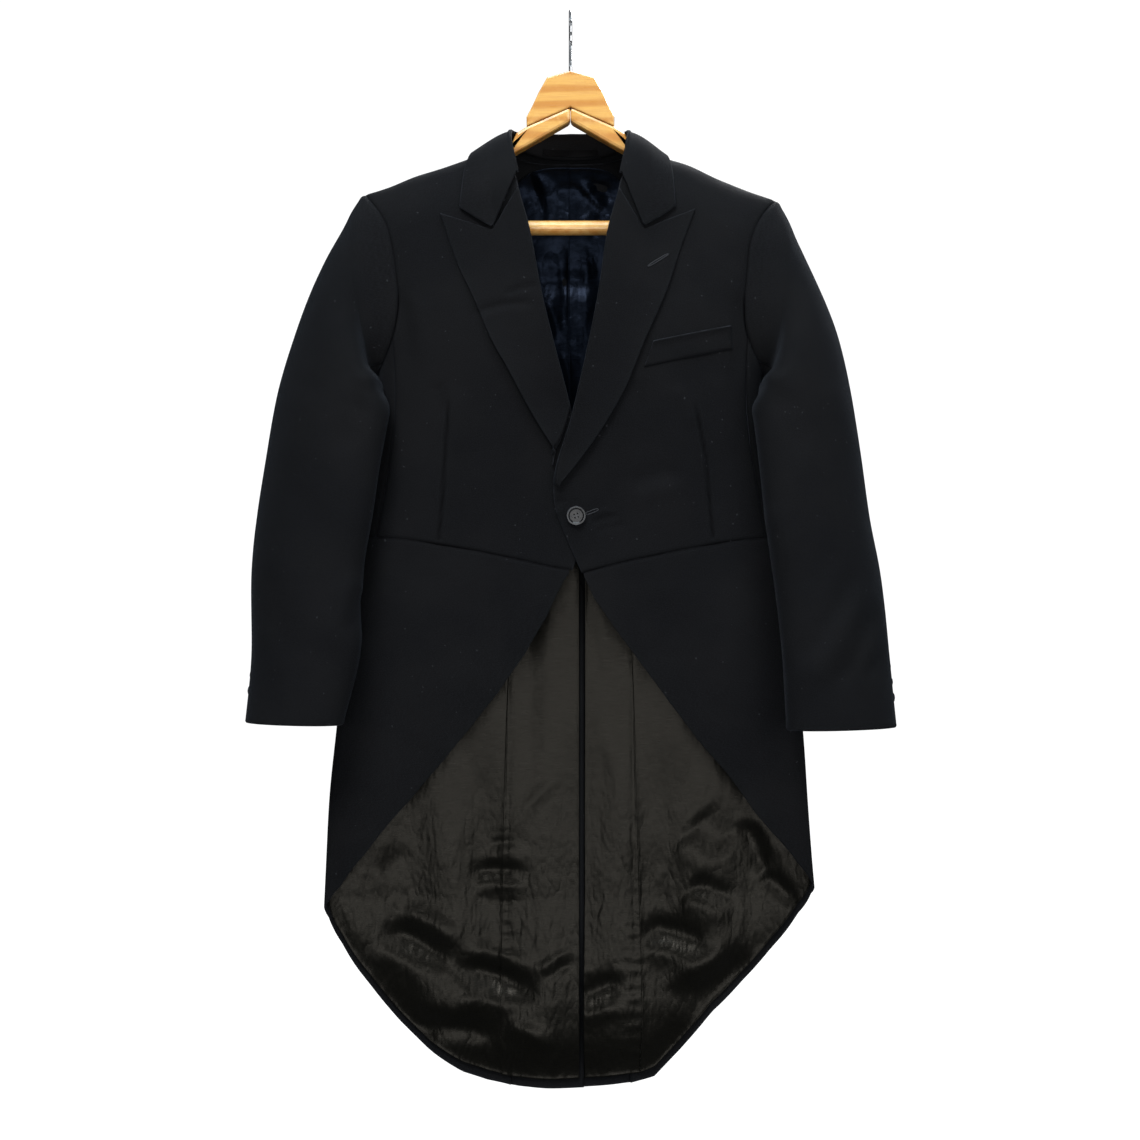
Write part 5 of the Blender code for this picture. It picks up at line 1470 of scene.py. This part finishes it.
def puckers(grid, places, seed):
    """Short gathers across the lining's upright seams."""
    random = np.random.default_rng(seed)
    x, drop = grid[:, :, 0], drops(grid)
    height = np.zeros_like(x)
    for place in places:
        phase = random.uniform(0, 6.28)
        strength = np.clip(np.sin(drop / 61.0 + phase) + 0.4, 0.1, 1.2) * below(grid, *PUCKER_DROPS, 0.1)
        ripple = np.sin(drop * 2 * math.pi / PUCKER_LENGTH + 2.0 * np.sin(drop / 37.0) + phase)
        height += PUCKER_HEIGHT * strength * ripple * bell(x - place, PUCKER_REACH)
        height -= SEAM_DIP * bell(x - place, SEAM_DIP_WIDTH)
    return height


def front_share(grid):
    """1 where the cloth faces the front of a piece that wraps round, and 0 behind."""
    depth = grid[:, :, 1]
    middle = (depth.min(axis=1, keepdims=True) + depth.max(axis=1, keepdims=True)) / 2
    return np.clip((middle - depth) / FACE_TURN + 0.5, 0, 1)


def both_faces(grid, front, back):
    """The front table where the cloth faces the front, and the back table behind."""
    share = front_share(grid)
    return share * crease_height(grid, front) + (1 - share) * crease_height(grid, back)


def tail_folds(grid):
    """The tails' folds, the same in the lining and in the cloth that it lies on."""
    low = below(grid, *LOW_TAIL_DROPS)
    return (0.8 + 0.35 * low) * crease_height(grid, LINING_CREASES) - crease_height(grid, BACK_CREASES)


def hem_fall(grid):
    """The lining's fullness low in the tails, where it falls back to the cloth at the hem."""
    from_top = lengths_along(grid, 0)
    return HEM_FALL * below(grid, *HEM_DROPS) * (1 - bell(from_top[-1:] - from_top, HEM_FALL_REACH))


def dress_forepart(side, word):
    def relief(grid):
        return (crease_height(grid, FRONT_CREASES) + gentle_waves(grid, 11 + side, 0.8)
                + groove(grid, DARTS[side]))

    cloth(f"front_{word}", [f"forepart_{word}"], forepart_surface(side), (190, 430), WOOL, (0, -1, 0),
          (0, 1, 1, 1), relief, turn_in=(1.1, 0, 0, 0), pitch=2.2,
          dart=DARTS[side])


def dress_side_body(side, word):
    def relief(grid):
        return both_faces(grid, FRONT_CREASES, BACK_CREASES) + gentle_waves(grid, 21 + side, 0.7)

    cloth(f"side_{word}", [f"side_body_{word}"], side_body_surface(side), (160, 250), WOOL, (0, -1, 0),
          relief=relief)


def dress_back(side, word):
    def relief(grid):
        across = lengths_along(grid, 1)
        pleat = below(grid, *PLEAT_DROPS) * PLEAT_RISE * bell(across[:, -1:] - across, PLEAT_WIDTH)
        tail = below(grid, *TAIL_DROPS)
        folds = crease_height(grid, BACK_CREASES) * (1 - tail) - tail_folds(grid) * tail
        return folds + gentle_waves(grid, 31 + side, 0.8) + pleat

    cloth(f"rear_{word}", [f"back_{word}"], back_surface(side), (200, 970), WOOL, (0, 1, 0),
          (1, 1, 1, 0), relief, turn_in=(0, 0, 0, 1.0), pitch=4.2)


def dress_skirt(side, word):
    def relief(grid):
        share = front_share(grid)
        folds = share * crease_height(grid, SKIRT_CREASES) - (1 - share) * tail_folds(grid)
        return folds + gentle_waves(grid, 41 + side, 0.9)

    cloth(f"skirt_piece_{word}", [f"skirt_{word}"], skirt_surface(side)[0], (430, 540), WOOL, (0, -1, 0),
          (0, 1, 1, 0), relief, turn_in=(1.1, 0, 0, 1.1), pitch=4.2)


def dress_back_lining(side, word):
    def relief(grid):
        tail = below(grid, *TAIL_DROPS)
        creases = tail_folds(grid) * tail
        loose = BODY_LINING_EASE * below(grid, *LOOSE_DROPS)
        creases += (loose + 1.4 * crease_height(grid, BODY_LINING_CREASES)) * (1 - tail)
        seam = puckers(grid, (side * LINING_SEAM, VENT_LAP - 4 * side), 51 + side)
        return -(creases + seam + gentle_waves(grid, 31 + side, -0.8) + LINING_EASE + hem_fall(grid))

    lining = cloth(f"back_lining_{word}", [f"lining_back_{word}"], back_lining_surface(side), (75, 950),
                   OLIVE_SATIN, (0, 1, 0), relief=relief, thickness=LINING_THICK,
                   offset=-(CLOTH + LINING_GAP),
                   pitch=3.4, seam_roll=0.5)
    lining.data.materials.append(NAVY_SATIN)
    waist = -WAIST_BACK * MM
    upper = [polygon.center.z > waist for polygon in lining.data.polygons]
    lining.data.polygons.foreach_set("material_index", np.asarray(upper, dtype=np.int32))


def dress_skirt_lining(side, word):
    def relief(grid):
        return -(tail_folds(grid) + gentle_waves(grid, 41 + side, -0.9) + LINING_EASE + hem_fall(grid)
                 + puckers(grid, (side * LINING_SEAM,), 51 + side))

    cloth(f"skirt_lining_{word}", [f"lining_skirt_{word}"], skirt_lining_surface(side)[0], (195, 520),
          OLIVE_SATIN, (0, 1, 0), relief=relief, thickness=LINING_THICK, offset=-(CLOTH + LINING_GAP),
          gaps=(-0.9, 0.0, 0.0, 0.0),
          pitch=3.2, seam_roll=0.5)


def dress_sleeve(side, word):
    def relief(grid):
        cap = CAP_RISE * bell(lengths_along(grid, 0) - CAP_PLACE, CAP_WIDTH)
        near_body = np.clip((UNDER_ARM_PLACE - side * grid[:, :, 0]) / UNDER_ARM_RUN, 0, 1)
        under_arm = UNDER_ARM_FULLNESS * bell(drops(grid) - UNDER_ARM_DROP, UNDER_ARM_WIDTH) * near_body
        return (both_faces(grid, SLEEVE_FRONT_CREASES, SLEEVE_BACK_CREASES) + cap + under_arm
                + gentle_waves(grid, 71 + side, 0.9))

    for layer, first, second, wrap, size, rests_on, pitch in (
            ("top", HIND_SEAM, FOREARM_SEAM, 0.0, (220, 540), "front", 3.6),
            ("under", FOREARM_SEAM, HIND_SEAM, 360.0, (150, 480), "side", 4.0)):
        outward = (side if layer == "top" else -side, 0, 0)
        cloth(f"sleeve_{layer}_{word}", [f"{layer}_sleeve_{word}"], sleeve_surface(side, first, second, wrap),
              size, WOOL, outward, (1, 1, 1, 0), relief, gaps=(-OVERLAP, -OVERLAP, 0.0, 0.0),
              turn_in=(0, 0, 0, 1.0), pitch=pitch)


def rolled_collar(u, v):
    """The fall, and before it (v below 0) the round of the fold over to the neck side."""
    if v >= 0:
        return collar_surface(u, v)
    fold = collar_surface(u, 0.0)
    inner = stand_surface(u, STAND_TOP)
    middle = (fold + inner) / 2
    upward = fold - collar_surface(u, 0.2)
    across = unit(fold - inner)
    upward = unit(upward - across * np.dot(upward, across))
    reach = np.linalg.norm(fold - inner) / 2
    angle = math.pi * v / -FOLD_SHARE
    return middle + (fold - middle) * math.cos(angle) + upward * reach * math.sin(angle)


def dress_collar():
    def relief(grid):
        return gentle_waves(grid, 81, 0.5)

    cloth("collar_piece", ["collar_fall"], rolled_collar, (380, 52), WOOL, (0, -1, 0.2), (0, 0, 0, 0),
          relief, COLLAR_THICK, gaps=NO_GAPS, pitch=2.6,
          span=(0.0, 1.0, -FOLD_SHARE, 1.0), turn_in=(0.9, 0.9, 0, 1.0))
    cloth("collar_stand_piece", ["collar_stand"], stand_surface, (330, 34), WOOL, (1, 0, 0), (0, 0, 0, 1),
          relief, STAND_THICK, gaps=NO_GAPS,
          pitch=3.0, span=(0.0, 1.0, STAND_TOP, 1.0))


def dress_lapel(side, word):
    def relief(grid):
        across = lengths_along(grid, 1)
        at_edge = np.clip(1 - (across[:, -1:] - across) / LAPEL_LIFT_WIDTH, 0, 1) ** 2
        lifted = LAPEL_LIFT * at_edge * below(grid, *LAPEL_DROPS, 0.15)
        return crease_height(grid, FRONT_CREASES[:2]) + gentle_waves(grid, 91 + side, 0.6) + lifted

    cloth(f"lapel_piece_{word}", [f"lapel_{word}"], lapel_surface(side), (110, 300), WOOL, (0, -1, 0),
          (0, 0, 0, 0), relief, LAPEL_THICK, CANVASED + LAYER_GAP, (0.0, 0.0, 1.0, 0.0),
          pitch=2.6, span=(0.0, 1.0, 0.0, LAPEL_END), turn_in=(2.2, 1.1, 1.0, 0))


def dress_welt():
    corners = [np.array(sighted(*corner, FRONT)) for corner in WELT_CORNERS]

    def surface(u, v):
        x, drop = blend(blend(corners[0], corners[1], u), blend(corners[3], corners[2], u), v)
        return coat_point(x, drop, FRONT)

    def relief(grid):
        return WELT_STAND_OFF * np.clip(1 - lengths_along(grid, 0) / WELT_STAND_WIDTH, 0, 1) ** 2

    cloth("welt_piece", ["breast_welt"], surface, (92, 28), WOOL, (0, -1, 0), (0, 1, 0, 1), relief,
          offset=WELT + LAYER_GAP, gaps=NO_GAPS, pitch=1.6,
          turn_in=(0, 0.5, 1.0, 0.5))


def cord(name, path, radius, material, sides=8):
    """A round cord of thread in a closed ring along points."""
    path = np.asarray(path, float)
    ahead = np.roll(path, -1, axis=0) - np.roll(path, 1, axis=0)
    ahead /= np.linalg.norm(ahead, axis=1, keepdims=True)
    one = np.cross(ahead, np.array((0.0, 1.0, 0.05)))
    one /= np.linalg.norm(one, axis=1, keepdims=True)
    two = np.cross(ahead, one)
    angles = np.arange(sides) * 2 * math.pi / sides
    ring = [path + radius * (one * math.cos(a) + two * math.sin(a)) for a in angles]
    points = np.stack(ring, axis=1).reshape(-1, 3)
    quads = []
    for i in range(len(path)):
        for k in range(sides):
            a, b = i * sides, ((i + 1) % len(path)) * sides
            quads.append((a + k, a + (k + 1) % sides, b + (k + 1) % sides, b + k))
    return mesh_piece(name, points, quads, points[:, [0, 2]], material)


def buttonhole(name, centre, end, lift, width):
    """A worked buttonhole: an oval of thread that stands on the cloth between two places."""
    first, last = np.array(sighted(*centre, FRONT)), np.array(sighted(*end, FRONT))
    middle, half = (first + last) / 2, (last - first) / 2
    side = np.array((-half[1], half[0])) / np.linalg.norm(half) * width
    path = []
    for k in range(CORD_POINTS):
        angle = 2 * math.pi * k / CORD_POINTS
        along = np.sign(math.cos(angle)) * abs(math.cos(angle)) ** 0.5
        flat = middle + half * along + side * math.sin(angle)
        point = coat_point(flat[0], flat[1], FRONT)
        point[1] -= lift
        path.append(point)
    cord(name, path, CORD, PLAIN["thread"])


def dress_frame():
    """Better finishes on the hanger, the hook, the buttons and the label."""
    finish_of_node = {"hanger_arm_left": "wood", "hanger_arm_right": "wood", "hanger_block": "wood",
                      "trouser_bar": "wood", "hanger_hook": "steel", "neck_label": "tape"}
    for name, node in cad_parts.items():
        word = "horn" if "button" in name else finish_of_node.get(name)
        if word:
            node.data.materials.clear()
            node.data.materials.append(PLAIN[word])


# The studio, in metres: a floor that curves up all round, and soft lamps
FLOOR_LEVEL = -1.19
FLOOR_RADIUS = 3.4
FLOOR_CURVE = 1.6
WALL_TOP = 6.0
LAMPS = (
    # name, place, aim, size, power, tint
    ("key", (-0.7, -2.0, 1.6), (0.0, 0.0, -0.5), (1.1, 0.9), 66.0, (1.0, 1.0, 1.0)),
    ("sky", (0.1, -1.0, 2.2), (0.0, 0.0, -0.3), (2.2, 1.4), 70.0, (0.80, 0.92, 1.0)),
    ("fill", (1.8, -2.1, 0.4), (0.0, 0.0, -0.6), (1.4, 1.6), 26.0, (1.0, 1.0, 1.0)),
    ("front", (0.0, -3.2, -0.72), (0.0, 0.0, -0.72), (3.4, 0.9), 46.0, (1.0, 1.0, 1.0)),
    ("rear", (0.6, 1.8, 1.2), (0.0, 0.0, -0.4), (1.6, 1.0), 60.0, (1.0, 1.0, 1.0)),
)
ROOM_TINT = (0.95, 0.97, 1.0, 1.0)
ROOM_LIGHT = 0.30
SENSOR_WIDTH = 36.0
SEEN_WIDTH = 1197.0
SIGHT_PLACE = -0.0005


def light(name, place, aim, size, power, tint):
    lamp = bpy.data.lights.new(name, "AREA")
    lamp.shape = "RECTANGLE"
    lamp.size, lamp.size_y = size
    lamp.energy = power
    lamp.color = tint
    obj = bpy.data.objects.new(name, lamp)
    obj.location = place
    obj.rotation_euler = (Vector(aim) - Vector(place)).to_track_quat("-Z", "Y").to_euler()
    bpy.context.scene.collection.objects.link(obj)


def make_floor():
    """A pale floor that curves up into a round wall and looks plain white to the camera."""
    rise = [(FLOOR_RADIUS + FLOOR_CURVE * math.sin(a), FLOOR_CURVE - FLOOR_CURVE * math.cos(a))
            for a in np.linspace(0.1, math.pi / 2, 10)]
    profile = [(0.0, 0.0), (FLOOR_RADIUS, 0.0), *rise, (FLOOR_RADIUS + FLOOR_CURVE, WALL_TOP)]
    turns = np.linspace(0, 2 * math.pi, 65)[:-1]
    points = [(r * math.cos(t), r * math.sin(t), z + FLOOR_LEVEL) for t in turns for r, z in profile]
    count = len(profile)
    faces = []
    for k in range(len(turns)):
        here, there = k * count, (k + 1) % len(turns) * count
        faces += [(here + i, here + i + 1, there + i + 1, there + i) for i in range(count - 1)]
    mesh = bpy.data.meshes.new("floor")
    mesh.from_pydata(points, [], faces)
    mesh.shade_smooth()
    paper = Finish("pale_floor", 0.9)
    tone = paper.noise(paper.place(), 3.0)
    paper.set("Base Color", paper.mix(tone, (0.13, 0.13, 0.13, 1), (0.15, 0.15, 0.15, 1)))
    paper.set("Emission Color", (1.0, 1.0, 1.0, 1.0))
    paper.set("Emission Strength", paper.add("ShaderNodeLightPath").outputs["Is Camera Ray"])
    mesh.materials.append(paper.material)
    floor = bpy.data.objects.new("floor", mesh)
    bpy.context.scene.collection.objects.link(floor)


def make_studio():
    """The floor, the lamps, the room's own light and the camera at the photo's angle."""
    make_floor()
    bpy.context.scene.view_settings.view_transform = "Standard"
    for lamp in LAMPS:
        light(*lamp)
    world = bpy.data.worlds.new("pale_room")
    world.use_nodes = True
    background = world.node_tree.nodes["Background"]
    background.inputs[0].default_value = ROOM_TINT
    background.inputs[1].default_value = ROOM_LIGHT
    bpy.context.scene.world = world
    camera = bpy.data.cameras.new("camera")
    camera.sensor_width = SENSOR_WIDTH
    camera.lens = SENSOR_WIDTH * SIGHT_DISTANCE / SEEN_WIDTH
    eye = bpy.data.objects.new("camera", camera)
    eye.location = (SIGHT_PLACE, -SIGHT_DISTANCE * MM, -SIGHT_DROP * MM)
    eye.rotation_euler = (math.pi / 2, 0.0, 0.0)
    bpy.context.scene.collection.objects.link(eye)
    bpy.context.scene.camera = eye


SIDES = ((LEFT, "left"), (RIGHT, "right"))
for dressings in ((dress_forepart, dress_side_body, dress_back, dress_skirt),
                  (dress_back_lining, dress_skirt_lining), (dress_sleeve,)):
    for side_and_word in SIDES:
        for dress in dressings:
            dress(*side_and_word)
dress_collar()
for side_and_word in SIDES:
    dress_lapel(*side_and_word)
dress_welt()
buttonhole("lapel_buttonhole", (81.4, 265.5), (102.4, 252.8), CANVASED + LAYER_GAP + 1.2, 0.9)
buttonhole("front_buttonhole", (15.5, 525.4), (29.0, 520.4), 0.2, 1.3)
dress_frame()
make_studio()
